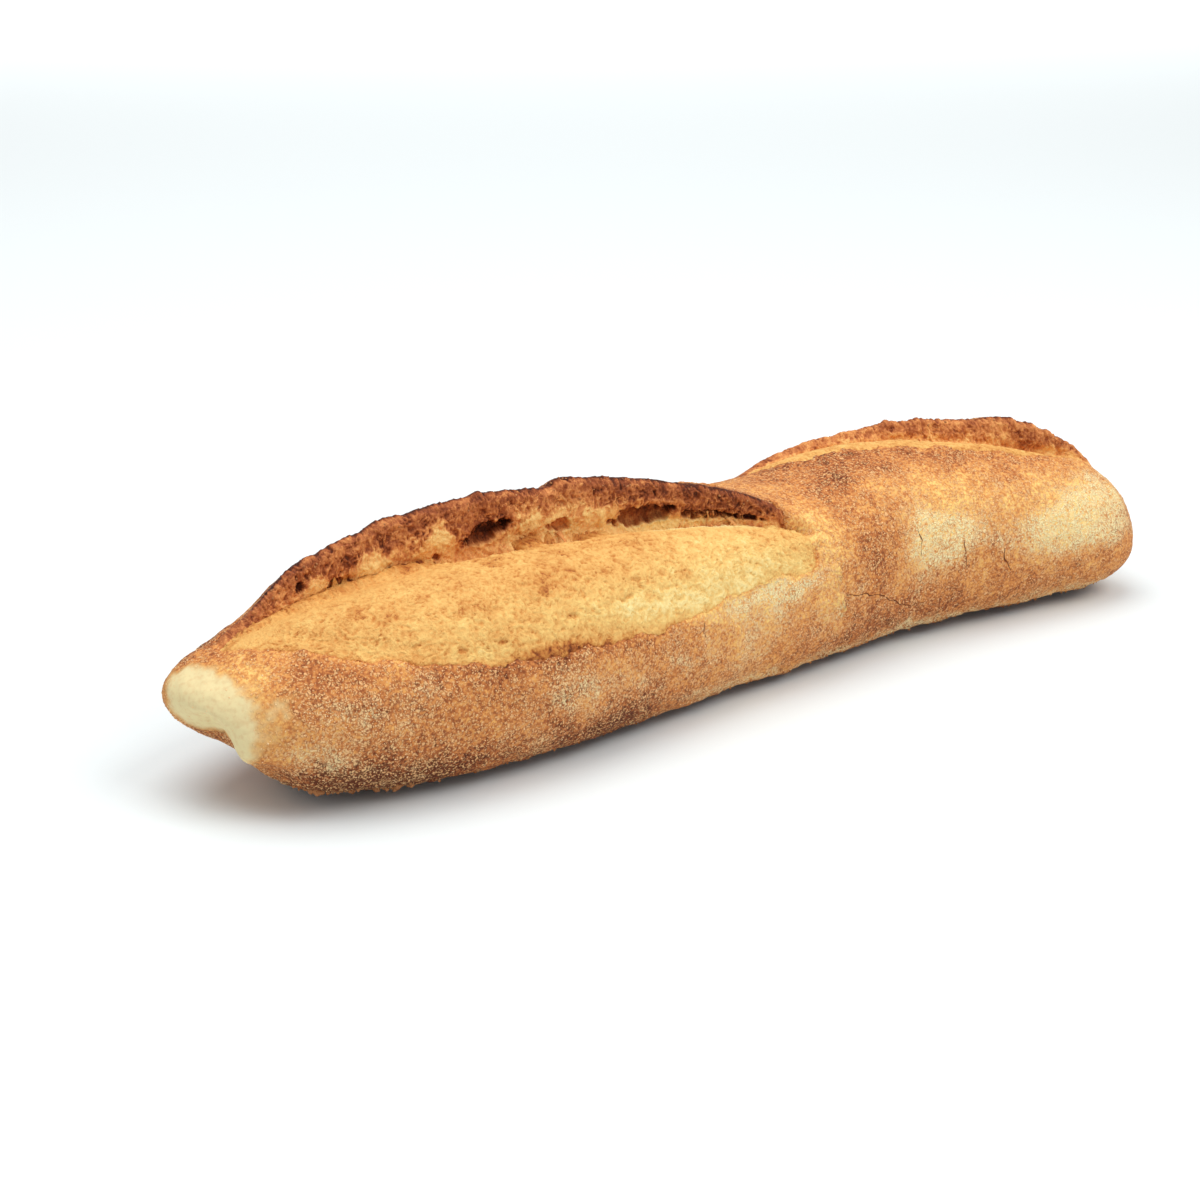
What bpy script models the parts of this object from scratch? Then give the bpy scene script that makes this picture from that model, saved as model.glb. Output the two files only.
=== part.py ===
"""A long Italian loaf on its flat base, made as one solid lofted from rounded sections.

X runs along the loaf with the narrow end at -X, Y across it with the front at -Y, and Z up. The
origin is on the floor under the middle of the loaf. All sizes are in metres.

The crown was slashed twice, each time on a slant from the back to the front. In the oven each
slash opened: its back lip lifted into a torn, ragged ear, and the dough in front of it swelled
into a pale bloom. A belt of crust crosses the waist between the two.
"""

from dataclasses import dataclass

import bpy
import numpy as np

NODE = "loaf"
COLLECTION = "italian_bread"

MM = 0.001
LENGTH = 350 * MM
STATIONS = np.array((-0.50, -0.38, -0.24, -0.08, 0.08, 0.20, 0.34, 0.50)) * LENGTH
HALF_WIDTH = np.array((35.0, 41.0, 39.0, 36.5, 35.5, 33.5, 38.0, 38.5)) * MM
CROWN_HEIGHT = np.array((45.0, 52.5, 56.0, 55.5, 55.0, 58.5, 56.0, 48.5)) * MM
BEND_STATIONS = np.array((-0.50, -0.25, 0.04, 0.29, 0.50)) * LENGTH
BEND = np.array((0.0, -5.5, 3.0, 7.5, -5.0)) * MM  # the loaf's middle line wanders sideways

TIP_HEIGHT = 22 * MM  # where the two end tips are
WIDEST_SHARE = 0.42  # the widest level of a section, as a share of its crown height
BASE_DEPTH = 6 * MM  # how far the round underside would sink below the floor that flattens it
SQUARENESS = 0.88  # 1 gives elliptical sections, less gives squarer ones
NEAR_END_BLUNTNESS = 3.0
FAR_END_BLUNTNESS = 4.3
GIRTH_RADIUS = 38 * MM  # turns an angle round a section into a distance over the crust

# An ear's profile across the slash, from the bloom over the crease to the back of the crown.
# Distances over the crust start at the crease; the two shifts are shares of the ear's height.
EAR_DISTANCE = np.array((-30.0, -5.0, -1.2, 0.0, 1.0, 2.2, 3.4, 4.4, 5.4, 7.5, 14.0, 26.0, 42.0, 60.0)) * MM
EAR_OUTWARD = np.array((0.0, 0.05, -0.12, -0.31, -0.08, 0.31, 0.65, 0.89, 1.0, 0.95, 0.71, 0.32, 0.06, 0.0))
EAR_BACKWARD = np.array((0.0, 0.0, 0.05, 0.23, 0.28, 0.12, 0.02, -0.05, 0.05, 0.09, 0.08, 0.04, 0.0, 0.0))
BLOOM_SWELL = 2.2 * MM
FULL_BLOOM = 30 * MM  # a bloom this wide or wider swells fully
LEAST_BLOOM = 1 * MM
SLASH_SHARES = np.array((0.0, 0.15, 0.35, 0.60, 0.85, 1.0))
RIM_STEP = 2.4 * MM  # how far a torn rim jumps up where the crust broke
RIM_STEP_SPAN = 56 * MM
RIM_STEP_SHARPNESS = 2.0 * MM
RAGGED_FROM = 6 * MM  # an ear this high or higher is fully ragged
# Small waves of a rim: length, height and phase.
RIM_WAVES = ((23.0 * MM, 0.35 * MM, 0.6), (14.0 * MM, 0.30 * MM, 2.1), (9.5 * MM, 0.25 * MM, 4.0))

SKIN_SAMPLES = 4001  # samples of the end caps' curve, from which even stations are read
STATION_COUNT = 94
ROUND_COUNT = 60
EAR_CROWDING = 4.5  # how much closer the points lie at an ear
REST_CROWDING = 1.2  # and on the same line past the slash's ends
CROWDING_FADE = 70 * MM
BELT_START = 30 * MM  # from here on the rows of points turn from one ear's rim to the other's
BELT_LENGTH = 48 * MM
NEAR_RIM_SHARE = 0.4  # how far round its row the point on the rim is, from the underside
FAR_RIM_SHARE = 0.6
EAR_CROWDING_WIDTH = 0.28  # radians
CRUST_COLOUR = (0.52, 0.27, 0.095, 1.0)


@dataclass(frozen=True)
class Slash:
    """One slash: where it runs, and how high its ear and how wide its bloom are on the way."""

    start: float
    end: float
    angle: tuple  # degrees round the section, 0 at the front, 90 on top
    ear_height: tuple
    bloom_width: tuple
    rim_steps: tuple  # where along the loaf the rim jumps up

    def along(self, x, values):
        """Read a list of values, given at SLASH_SHARES of the slash, at the places x."""
        share = np.clip((x - self.start) / (self.end - self.start), 0, 1)
        return curve_through(SLASH_SHARES, np.array(values), share)

    def crease_angle(self, x):
        """Angle of the crease round the section, in radians."""
        return np.radians(self.along(x, self.angle))

    def inside(self, x):
        """1 between the two ends of the slash, 0 outside."""
        return ((x > self.start) & (x < self.end)) * 1.0


@dataclass(frozen=True)
class Press:
    """A soft dent or bump: a push that fades with the distance from its centre."""

    centre: tuple
    push: tuple
    radius: float


SLASHES = (
    Slash(-153 * MM, 37 * MM, (100.5, 101.5, 97.5, 85.5, 64.5, 38.5),
          (0, 13 * MM, 16 * MM, 14.5 * MM, 7.5 * MM, 0),
          (0, 34.5 * MM, 48 * MM, 45 * MM, 31.5 * MM, 0), (-100 * MM, -46 * MM)),
    Slash(38 * MM, 162 * MM, (117.5, 113, 104.5, 92, 80, 71.5),
          (0, 2 * MM, 3.5 * MM, 6 * MM, 9 * MM, 0),
          (0, 15.5 * MM, 17.5 * MM, 15.5 * MM, 8.5 * MM, 0), (131 * MM,)),
)
PRESSES = (
    Press((-174 * MM, 10 * MM, 28 * MM), (3.5 * MM, 1 * MM, 4.5 * MM), 24 * MM),  # lifts the nose
    Press((-172 * MM, -9 * MM, 9 * MM), (8.5 * MM, 2.5 * MM, 2.5 * MM), 12 * MM),  # notch under it
    Press((-153 * MM, 18 * MM, 4 * MM), (3 * MM, -1.5 * MM, 6 * MM), 16 * MM),  # hollow behind it
    Press((-168 * MM, -31 * MM, 13 * MM), (-4.5 * MM, -2 * MM, -2 * MM), 7.5 * MM),  # front lobe
)


def smooth_step(value, low, high):
    """Rise from 0 at low to 1 at high, level at both."""
    share = np.clip((value - low) / (high - low), 0, 1)
    return share * share * (3 - 2 * share)


def curve_through(places, values, x):
    """Smooth curve through the given values that never overshoots them."""
    gap = np.diff(places)
    rise = np.diff(values) / gap
    before, after = rise[:-1], rise[1:]
    same_way = before * after > 0
    weight_1, weight_2 = 2 * gap[1:] + gap[:-1], gap[1:] + 2 * gap[:-1]
    safe_before, safe_after = np.where(same_way, before, 1), np.where(same_way, after, 1)
    slope = np.concatenate((rise[:1], before * 0, rise[-1:]))
    slope[1:-1] = np.where(
        same_way, (weight_1 + weight_2) / (weight_1 / safe_before + weight_2 / safe_after), 0)
    k = np.clip(np.searchsorted(places, x) - 1, 0, len(places) - 2)
    t = np.clip((x - places[k]) / gap[k], 0, 1)
    start = (1 + 2 * t) * (1 - t) ** 2 * values[k] + t * (1 - t) ** 2 * gap[k] * slope[k]
    end = t * t * (3 - 2 * t) * values[k + 1] + t * t * (t - 1) * gap[k] * slope[k + 1]
    return start + end


def stations(count):
    """Places along the loaf, evenly spaced over its skin, and how full the section is at each."""
    turn = np.linspace(-np.pi / 2, np.pi / 2, SKIN_SAMPLES)
    lengthwise, round_share = np.sin(turn), np.clip(np.cos(turn), 0, None)
    power = 2 / np.where(lengthwise < 0, NEAR_END_BLUNTNESS, FAR_END_BLUNTNESS)
    x = LENGTH / 2 * np.sign(lengthwise) * np.abs(lengthwise) ** power
    fullness = round_share ** power
    steps = np.hypot(np.diff(x), GIRTH_RADIUS * np.diff(fullness))
    skin = np.concatenate(([0], np.cumsum(steps)))
    even = np.linspace(0, skin[-1], count)
    return np.interp(even, skin, x), np.interp(even, skin, fullness)


def section(x, fullness, angle):
    """Y and Z of the bare loaf, before its slashes, at an angle round the section."""
    half_width = curve_through(STATIONS, HALF_WIDTH, x) * fullness
    crown = TIP_HEIGHT + (curve_through(STATIONS, CROWN_HEIGHT, x) - TIP_HEIGHT) * fullness
    middle = TIP_HEIGHT + (WIDEST_SHARE * curve_through(STATIONS, CROWN_HEIGHT, x) - TIP_HEIGHT) * fullness
    bottom = TIP_HEIGHT - (BASE_DEPTH + TIP_HEIGHT) * fullness
    across, up = np.cos(angle), np.sin(angle)
    across = np.sign(across) * np.abs(across) ** SQUARENESS
    up = np.sign(up) * np.abs(up) ** SQUARENESS
    y = curve_through(BEND_STATIONS, BEND, x) - half_width * across
    return y, middle + np.where(up > 0, crown - middle, middle - bottom) * up


def outward(x, fullness, angle):
    """Unit direction out of the section, as Y and Z; the way round it is this turned a quarter."""
    nudge = 0.001
    y_after, z_after = section(x, fullness, angle + nudge)
    y_before, z_before = section(x, fullness, angle - nudge)
    dy, dz = y_after - y_before, z_after - z_before
    size = np.hypot(dy, dz) + 1e-12
    return -dz / size, dy / size


def section_angles(x, count):
    """Angles of the points round each section, crowded at the ears.

    One point of every row lies on the rim of the nearer ear, so that the rim is a clean line of
    the mesh; along the belt the rows turn from one rim to the other.
    """
    rim_offset = EAR_DISTANCE[EAR_OUTWARD.argmax()] / GIRTH_RADIUS
    creases = [slash.crease_angle(x) for slash in SLASHES]
    crowding = [
        EAR_CROWDING + (REST_CROWDING - EAR_CROWDING)
        * smooth_step(np.maximum(s.start - x, x - s.end), 0, CROWDING_FADE) for s in SLASHES]

    def crowded(angle):
        return angle + sum(
            amount * EAR_CROWDING_WIDTH * np.tanh((angle - crease - rim_offset / 2) / EAR_CROWDING_WIDTH)
            for amount, crease in zip(crowding, creases))

    turned = smooth_step(x, BELT_START, BELT_START + BELT_LENGTH)
    rim = creases[0] + (creases[1] - creases[0]) * turned + rim_offset
    rim_share = NEAR_RIM_SHARE + (FAR_RIM_SHARE - NEAR_RIM_SHARE) * turned
    whole_turn = 2 * np.pi + sum(2 * EAR_CROWDING_WIDTH * amount for amount in crowding)
    wanted = crowded(rim) + whole_turn * (np.arange(count)[None] / count - rim_share)
    below = np.broadcast_to(rim - 2 * np.pi, wanted.shape)
    above = np.broadcast_to(rim + 2 * np.pi, wanted.shape)
    for _ in range(30):
        middle = (below + above) / 2
        short = crowded(middle) < wanted
        below, above = np.where(short, middle, below), np.where(short, above, middle)
    return (below + above) / 2


def rim_height(slash, x):
    """Height of an ear's rim: its smooth rise, the steps where the crust broke, small waves."""
    height = slash.along(x, slash.ear_height)
    ragged = sum(size * np.sin(2 * np.pi * x / length + phase) for length, size, phase in RIM_WAVES)
    for place in slash.rim_steps:
        offset = x - place
        tooth = 0.5 * np.tanh(offset / RIM_STEP_SHARPNESS) - offset / RIM_STEP_SPAN
        ragged = ragged + RIM_STEP * tooth * (np.abs(offset) < RIM_STEP_SPAN / 2)
    return height + ragged * np.clip(height / RAGGED_FROM, 0, 1)


def slash_relief(slash, x, angle):
    """How far a slash shifts the skin outward and backward round the section."""
    turn = (angle - slash.crease_angle(x) + np.pi) % (2 * np.pi) - np.pi
    distance = GIRTH_RADIUS * turn
    height = rim_height(slash, x) * slash.inside(x)
    out = curve_through(EAR_DISTANCE, EAR_OUTWARD, distance) * height
    back = curve_through(EAR_DISTANCE, EAR_BACKWARD, distance) * height
    width = np.maximum(slash.along(x, slash.bloom_width), LEAST_BLOOM)
    from_middle = (distance + width / 2) / (width / 2)
    swell = BLOOM_SWELL * np.clip(1 - from_middle ** 2, 0, 1) * np.minimum(width / FULL_BLOOM, 1)
    near_crease = (distance > EAR_DISTANCE[0]) & (distance < EAR_DISTANCE[-1])
    return out * near_crease + swell * slash.inside(x), back * near_crease


def press_into(points):
    """Push the points by each dent or bump in turn."""
    for press in PRESSES:
        distance_2 = ((points - np.array(press.centre)) ** 2).sum(axis=-1, keepdims=True)
        points = points + np.array(press.push) * np.exp(-distance_2 / (2 * press.radius ** 2))
    return points


def loaf_grid(station_count, round_count):
    """Grid of skin points: one row a station, from end to end, flattened on the floor."""
    x, fullness = (row[:, None] for row in stations(station_count))
    angle = section_angles(x, round_count)
    y, z = section(x, fullness, angle)
    out_y, out_z = outward(x, fullness, angle)
    fade = np.sqrt(fullness)
    for slash in SLASHES:
        out, back = slash_relief(slash, x, angle)
        y = y + (out * out_y + back * out_z) * fade
        z = z + (out * out_z - back * out_y) * fade
    points = press_into(np.stack((np.broadcast_to(x, y.shape), y, z), axis=-1))
    points[..., 2] = np.maximum(points[..., 2], 0)
    return points


def centred(points):
    """Stand the points on the floor with their box centred over the origin."""
    low, high = points.min(axis=(0, 1)), points.max(axis=(0, 1))
    middle = (low + high) / 2
    return points - np.array((middle[0], middle[1], low[2]))


def skin_mesh(points):
    """Closed mesh from a grid whose first and last rows are the two end tips."""
    tips = points[[0, -1], 0]
    body = points[1:-1]
    rows, count = body.shape[:2]
    index = np.arange(rows * count).reshape(rows, count)
    beside = np.roll(index, -1, axis=1)
    quads = np.stack((index[:-1], index[1:], beside[1:], beside[:-1]), axis=-1).reshape(-1, 4)
    first_tip, last_tip = rows * count, rows * count + 1
    first_fan = np.stack((np.full(count, first_tip), index[0], beside[0]), axis=-1)
    last_fan = np.stack((np.full(count, last_tip), beside[-1], index[-1]), axis=-1)
    vertices = np.concatenate((body.reshape(-1, 3), tips))
    mesh = bpy.data.meshes.new(NODE)
    mesh.from_pydata(vertices.tolist(), [], quads.tolist() + first_fan.tolist() + last_fan.tolist())
    mesh.shade_smooth()
    return mesh


def crust_material():
    """Matt golden-brown crust."""
    material = bpy.data.materials.new("crust")
    material.use_nodes = True
    shader = material.node_tree.nodes["Principled BSDF"]
    shader.inputs["Base Color"].default_value = CRUST_COLOUR
    shader.inputs["Roughness"].default_value = 0.75
    shader.inputs["Metallic"].default_value = 0.0
    return material


def main():
    """Build the loaf in its own collection."""
    for old in list(bpy.data.objects):
        bpy.data.objects.remove(old)
    collection = bpy.data.collections.new(COLLECTION)
    bpy.context.scene.collection.children.link(collection)
    loaf = bpy.data.objects.new(NODE, skin_mesh(centred(loaf_grid(STATION_COUNT, ROUND_COUNT))))
    loaf.data.materials.append(crust_material())
    collection.objects.link(loaf)


main()
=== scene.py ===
"""The looks of a long slashed Italian loaf, dressed over the frame's one solid.

The form repeats the solid's: sections lofted along X, flattened on the floor, with two slashes whose
back lips lifted into torn ears and whose dough swelled into blooms. Over that form lie a floured
crust, the crumb of the blooms and ears, torn strands, cracks, loose crumbs and grains of semolina.
Shapes are worked out in millimetres and become metres when they are put into a mesh.
"""

import logging
import math
from dataclasses import dataclass
from enum import Enum

import bpy
import numpy as np
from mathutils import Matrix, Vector


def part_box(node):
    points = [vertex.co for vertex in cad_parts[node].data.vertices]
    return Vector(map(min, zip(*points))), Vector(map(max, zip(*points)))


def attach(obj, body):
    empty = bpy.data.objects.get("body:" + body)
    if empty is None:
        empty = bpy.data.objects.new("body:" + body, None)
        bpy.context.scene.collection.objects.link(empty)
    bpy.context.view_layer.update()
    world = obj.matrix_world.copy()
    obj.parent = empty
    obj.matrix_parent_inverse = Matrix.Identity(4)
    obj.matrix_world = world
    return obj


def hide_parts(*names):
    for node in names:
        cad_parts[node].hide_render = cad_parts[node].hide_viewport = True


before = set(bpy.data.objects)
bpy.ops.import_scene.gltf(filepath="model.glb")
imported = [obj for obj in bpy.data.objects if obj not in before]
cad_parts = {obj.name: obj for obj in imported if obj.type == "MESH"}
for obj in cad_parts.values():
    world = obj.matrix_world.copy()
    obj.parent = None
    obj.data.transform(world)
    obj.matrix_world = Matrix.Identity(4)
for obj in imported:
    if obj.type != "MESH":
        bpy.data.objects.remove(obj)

LOG = logging.getLogger("italian_bread")
MM = 0.001
BODY = "root"
NODE = "loaf"
Array = np.ndarray
Colour = tuple[float, float, float, float]
Mesh = bpy.types.Mesh
Piece = bpy.types.Object
Material = bpy.types.Material
Socket = bpy.types.NodeSocket
OBLIQUE = np.array(((0.36, 0.48, -0.80), (-0.80, 0.60, 0.0), (0.48, 0.64, 0.60)))  # a turn off the axes
NO_QUADS, NO_TRIANGLES = np.zeros((0, 4), int), np.zeros((0, 3), int)
TURNED_QUAD, TURNED_FAN = [0, 3, 2, 1], [0, 2, 1]  # the order of corners that turns a face over


# ---------------------------------------------------------------- numbers and noise


def smooth_step(value: Array, low: float, high: float) -> Array:
    """Rise from 0 at low to 1 at high: 3 s squared less 2 s cubed, of the share s between them.

    Args:
        value: where to read the step.
        low: where it starts.
        high: where it ends.

    Returns:
        The step, between 0 and 1.
    """
    share = np.clip((value - low) / (high - low), 0, 1)
    return share * share * (3 - 2 * share)


def bump(offset: Array, radius: float) -> Array:
    """Bell of an offset: e to the minus square of the offset over the radius."""
    return np.exp(-(offset / radius) ** 2)


def curve_through(places: tuple[float, ...], values: tuple[float, ...], x: Array) -> Array:
    """Smooth curve through given values that never overshoots them.

    Each slope is the harmonic mean of the rises beside it, and cubic pieces join them.

    Args:
        places: rising places.
        values: the value at each.
        x: where to read the curve.

    Returns:
        The curve at x.
    """
    places, values = np.asarray(places, float), np.asarray(values, float)
    gap = np.diff(places)
    rise = np.diff(values) / gap
    before, after = rise[:-1], rise[1:]
    same_way = before * after > 0
    weight_1, weight_2 = 2 * gap[1:] + gap[:-1], gap[1:] + 2 * gap[:-1]
    safe_before, safe_after = np.where(same_way, before, 1), np.where(same_way, after, 1)
    slope = np.concatenate((rise[:1], before * 0, rise[-1:]))
    slope[1:-1] = np.where(
        same_way, (weight_1 + weight_2) / (weight_1 / safe_before + weight_2 / safe_after), 0)
    k = np.clip(np.searchsorted(places, x) - 1, 0, len(places) - 2)
    t = np.clip((x - places[k]) / gap[k], 0, 1)
    start = (1 + 2 * t) * (1 - t) ** 2 * values[k] + t * (1 - t) ** 2 * gap[k] * slope[k]
    end = t * t * (3 - 2 * t) * values[k + 1] + t * t * (t - 1) * gap[k] * slope[k + 1]
    return start + end


def lot(cell: Array, seed: int) -> Array:
    """Draw a fixed lot from 0 to 1 for each whole-numbered cell.

    The cell's three numbers are multiplied by large odd numbers, added and scrambled.

    Args:
        cell: whole numbers, the last axis of three.
        seed: picks one set of lots.

    Returns:
        One lot a cell.
    """
    c = cell.astype(np.int64).astype(np.uint32)
    mixed = c[..., 0] * np.uint32(374761393) + c[..., 1] * np.uint32(668265263)
    mixed = mixed + c[..., 2] * np.uint32(2246822519) + np.uint32((seed * 3266489917) % 2 ** 32)
    mixed = (mixed ^ (mixed >> np.uint32(15))) * np.uint32(2654435761)
    mixed = (mixed ^ (mixed >> np.uint32(13))) * np.uint32(1274126177)
    return (mixed ^ (mixed >> np.uint32(16))) / 2.0 ** 32


def soft_noise(points: Array, size: float, seed: int, octaves: int = 3) -> Array:
    """Cloudy noise between about -1 and 1.

    Lots at the corners of cubes are blended smoothly, and each finer layer has half the size and
    weight of the one before and is turned and shifted against it.

    Args:
        points: places in millimetres, the last axis of three.
        size: the coarsest layer's cubes.
        seed: picks one cloud.
        octaves: how many layers.

    Returns:
        The noise at each point.
    """
    total, weight, scale = 0.0, 0.0, 1.0
    turned = points
    for layer in range(octaves):
        turned = turned @ OBLIQUE
        place = turned / (size * scale) + 17.3 * (layer + 1)
        corner = np.floor(place)
        part = place - corner
        part = part * part * part * (part * (part * 6 - 15) + 10)
        value = 0.0
        for step in np.ndindex(2, 2, 2):
            share = np.prod(np.where(np.array(step), part, 1 - part), axis=-1)
            value = value + share * lot(corner + np.array(step), seed + 31 * layer)
        total = total + (2 * value - 1) * scale
        weight += scale
        scale /= 2
    return total / weight * 1.6


def cells(points: Array, size: float, seed: int) -> tuple[Array, Array, Array]:
    """Foam: each point's nearest and second nearest of one seed point thrown into every cube.

    Args:
        points: places in millimetres, the last axis of three.
        size: the cubes' size.
        seed: picks one foam.

    Returns:
        The two distances in cube sizes, and the lot of the nearest one's cube.
    """
    place = points / size
    corner = np.floor(place)
    first = np.full(place.shape[:-1], 9.0)
    second, chosen = first.copy(), first * 0
    for step in np.ndindex(3, 3, 3):
        cube = corner + np.array(step) - 1
        throw = np.stack([lot(cube, seed + axis) for axis in range(3)], axis=-1)
        distance = np.linalg.norm(cube + throw - place, axis=-1)
        closer = distance < first
        second = np.where(closer, first, np.minimum(second, distance))
        chosen = np.where(closer, throw[..., 0], chosen)
        first = np.where(closer, distance, first)
    return first, second, (chosen * 7.31) % 1.0


def paint(red: int, green: int, blue: int) -> Colour:
    """Turn a display colour of 0 to 255 into the linear one that a shader takes.

    Args:
        red: the display's red.
        green: the display's green.
        blue: the display's blue.

    Returns:
        Linear red, green and blue, and full cover.
    """
    share = [v / 255 for v in (red, green, blue)]
    linear = [v / 12.92 if v <= 0.04045 else ((v + 0.055) / 1.055) ** 2.4 for v in share]
    return (*linear, 1.0)


def warped(points: Array, reach: float, size: float, seed: int) -> Array:
    """Pull points about: each is moved by up to the reach, by three clouds of the given size."""
    pull = np.stack([soft_noise(points, size, seed + axis, 2) for axis in range(3)], axis=-1)
    return points + reach * pull


def sheet_of(x: Array, y: Array | float = 0.0) -> Array:
    """Places on a flat sheet, for noise that follows distances along and across a slash."""
    return np.stack((x, y + 0 * x, 0 * x), axis=-1)


def unit(vectors: Array) -> Array:
    """Vectors brought to a length of one."""
    return vectors / (np.linalg.norm(vectors, axis=-1, keepdims=True) + 1e-9)


# ---------------------------------------------------------------- the loaf's form


@dataclass(frozen=True)
class Press:
    """A soft dent or bump: a push that fades with the distance from its centre."""

    centre: tuple[float, float, float]
    push: tuple[float, float, float]
    radius: float


@dataclass(frozen=True)
class Slash:
    """Where a slash runs, and how high its ear and how wide its bloom are on the way."""

    start: float
    end: float
    shares: tuple[float, ...]  # where along it the next four rows of sizes are given
    angle: tuple[float, ...]  # degrees round the section, 0 at the front, 90 on top
    ear_height: tuple[float, ...]
    bloom_width: tuple[float, ...]
    lip_place: tuple[float, ...]  # how far in front of the crease the torn crumb starts
    rim_steps: tuple[float, ...]  # where the rim's crust broke in a step
    ear_end: float  # past this the back lip isn't torn
    bloom_end: float  # past this no crumb shows
    least_bloom: float = 1.0
    rim_step: float = 2.4
    rim_step_span: float = 56.0
    rim_step_sharpness: float = 2.0
    ragged_from: float = 6.0
    rim_waves: tuple[tuple[float, float, float], ...] = (
        (23.0, 0.20, 0.6), (14.0, 0.14, 2.1), (9.5, 0.10, 4.0))
    lip_waves: tuple[tuple[float, float, float], ...] = (
        (19.0, 0.60, 1.0), (11.3, 0.45, 3.1), (6.1, 0.30, 0.5), (3.4, 0.16, 2.0), (2.1, 0.08, 5.0))
    wavy_from: float = 16.0
    rounding: float = 8.0  # the bloom's blunt end is rounded over this length

    def along(self, x: Array, values: tuple[float, ...]) -> Array:
        """Read values given at the slash's shares at the places x."""
        share = np.clip((x - self.start) / (self.end - self.start), 0, 1)
        return curve_through(self.shares, values, share)

    def crease(self, x: Array) -> Array:
        """Angle of the crease round the section, in radians."""
        return np.radians(self.along(x, self.angle))

    def bloom(self, x: Array) -> Array:
        """Width of the bloom over the crust."""
        return np.maximum(self.along(x, self.bloom_width), self.least_bloom)

    def lip(self, x: Array) -> Array:
        """Distance from the crease to the crumb's torn front lip: its place plus a sum of waves.

        Args:
            x: places along the loaf.

        Returns:
            The distance at each, halved at the bloom's rounded end.
        """
        width = np.maximum(self.along(x, self.lip_place), self.least_bloom)
        wavy = sum(size * np.sin(2 * np.pi * x / wave + phase) for wave, size, phase in self.lip_waves)
        return (width + wavy * np.clip(width / self.wavy_from - 0.2, 0, 1)) * (1 - 0.5 * self.corner(x))

    def corner(self, x: Array) -> Array:
        """How far a place is into the rounding of the bloom's end: 0 before it, rising to 1."""
        return np.clip((x - self.bloom_end + self.rounding) / self.rounding, 0, 1) ** 3

    def torn_ear(self, x: Array) -> Array:
        """1 where the back lip is torn, fading to 0 at the ear's two ends."""
        begun = smooth_step(x, self.start, self.start + 5)
        return begun * (1 - smooth_step(x, self.ear_end - 4, self.ear_end))

    def rim(self, x: Array) -> Array:
        """Height of the ear's rim: its smooth rise, the steps where the crust broke, small waves.

        A step is half a hyperbolic tangent less a straight slope, so that it fades on both sides.

        Args:
            x: places along the loaf.

        Returns:
            The height at each.
        """
        height = self.along(x, self.ear_height)
        ragged = sum(size * np.sin(2 * np.pi * x / wave + phase) for wave, size, phase in self.rim_waves)
        for place in self.rim_steps:
            offset = x - place
            tooth = 0.5 * np.tanh(offset / self.rim_step_sharpness) - offset / self.rim_step_span
            ragged = ragged + self.rim_step * tooth * (np.abs(offset) < self.rim_step_span / 2)
        inside = (x > self.start) & (x < self.end)
        return (height + ragged * np.clip(height / self.ragged_from, 0, 1)) * inside

    def depth_in(self, x: Array, margin: float) -> Array:
        """0 at the bloom's two ends and outside, 1 from a margin inside them on."""
        return smooth_step(np.minimum(x - self.start, self.bloom_end - x), 0, margin)


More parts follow.
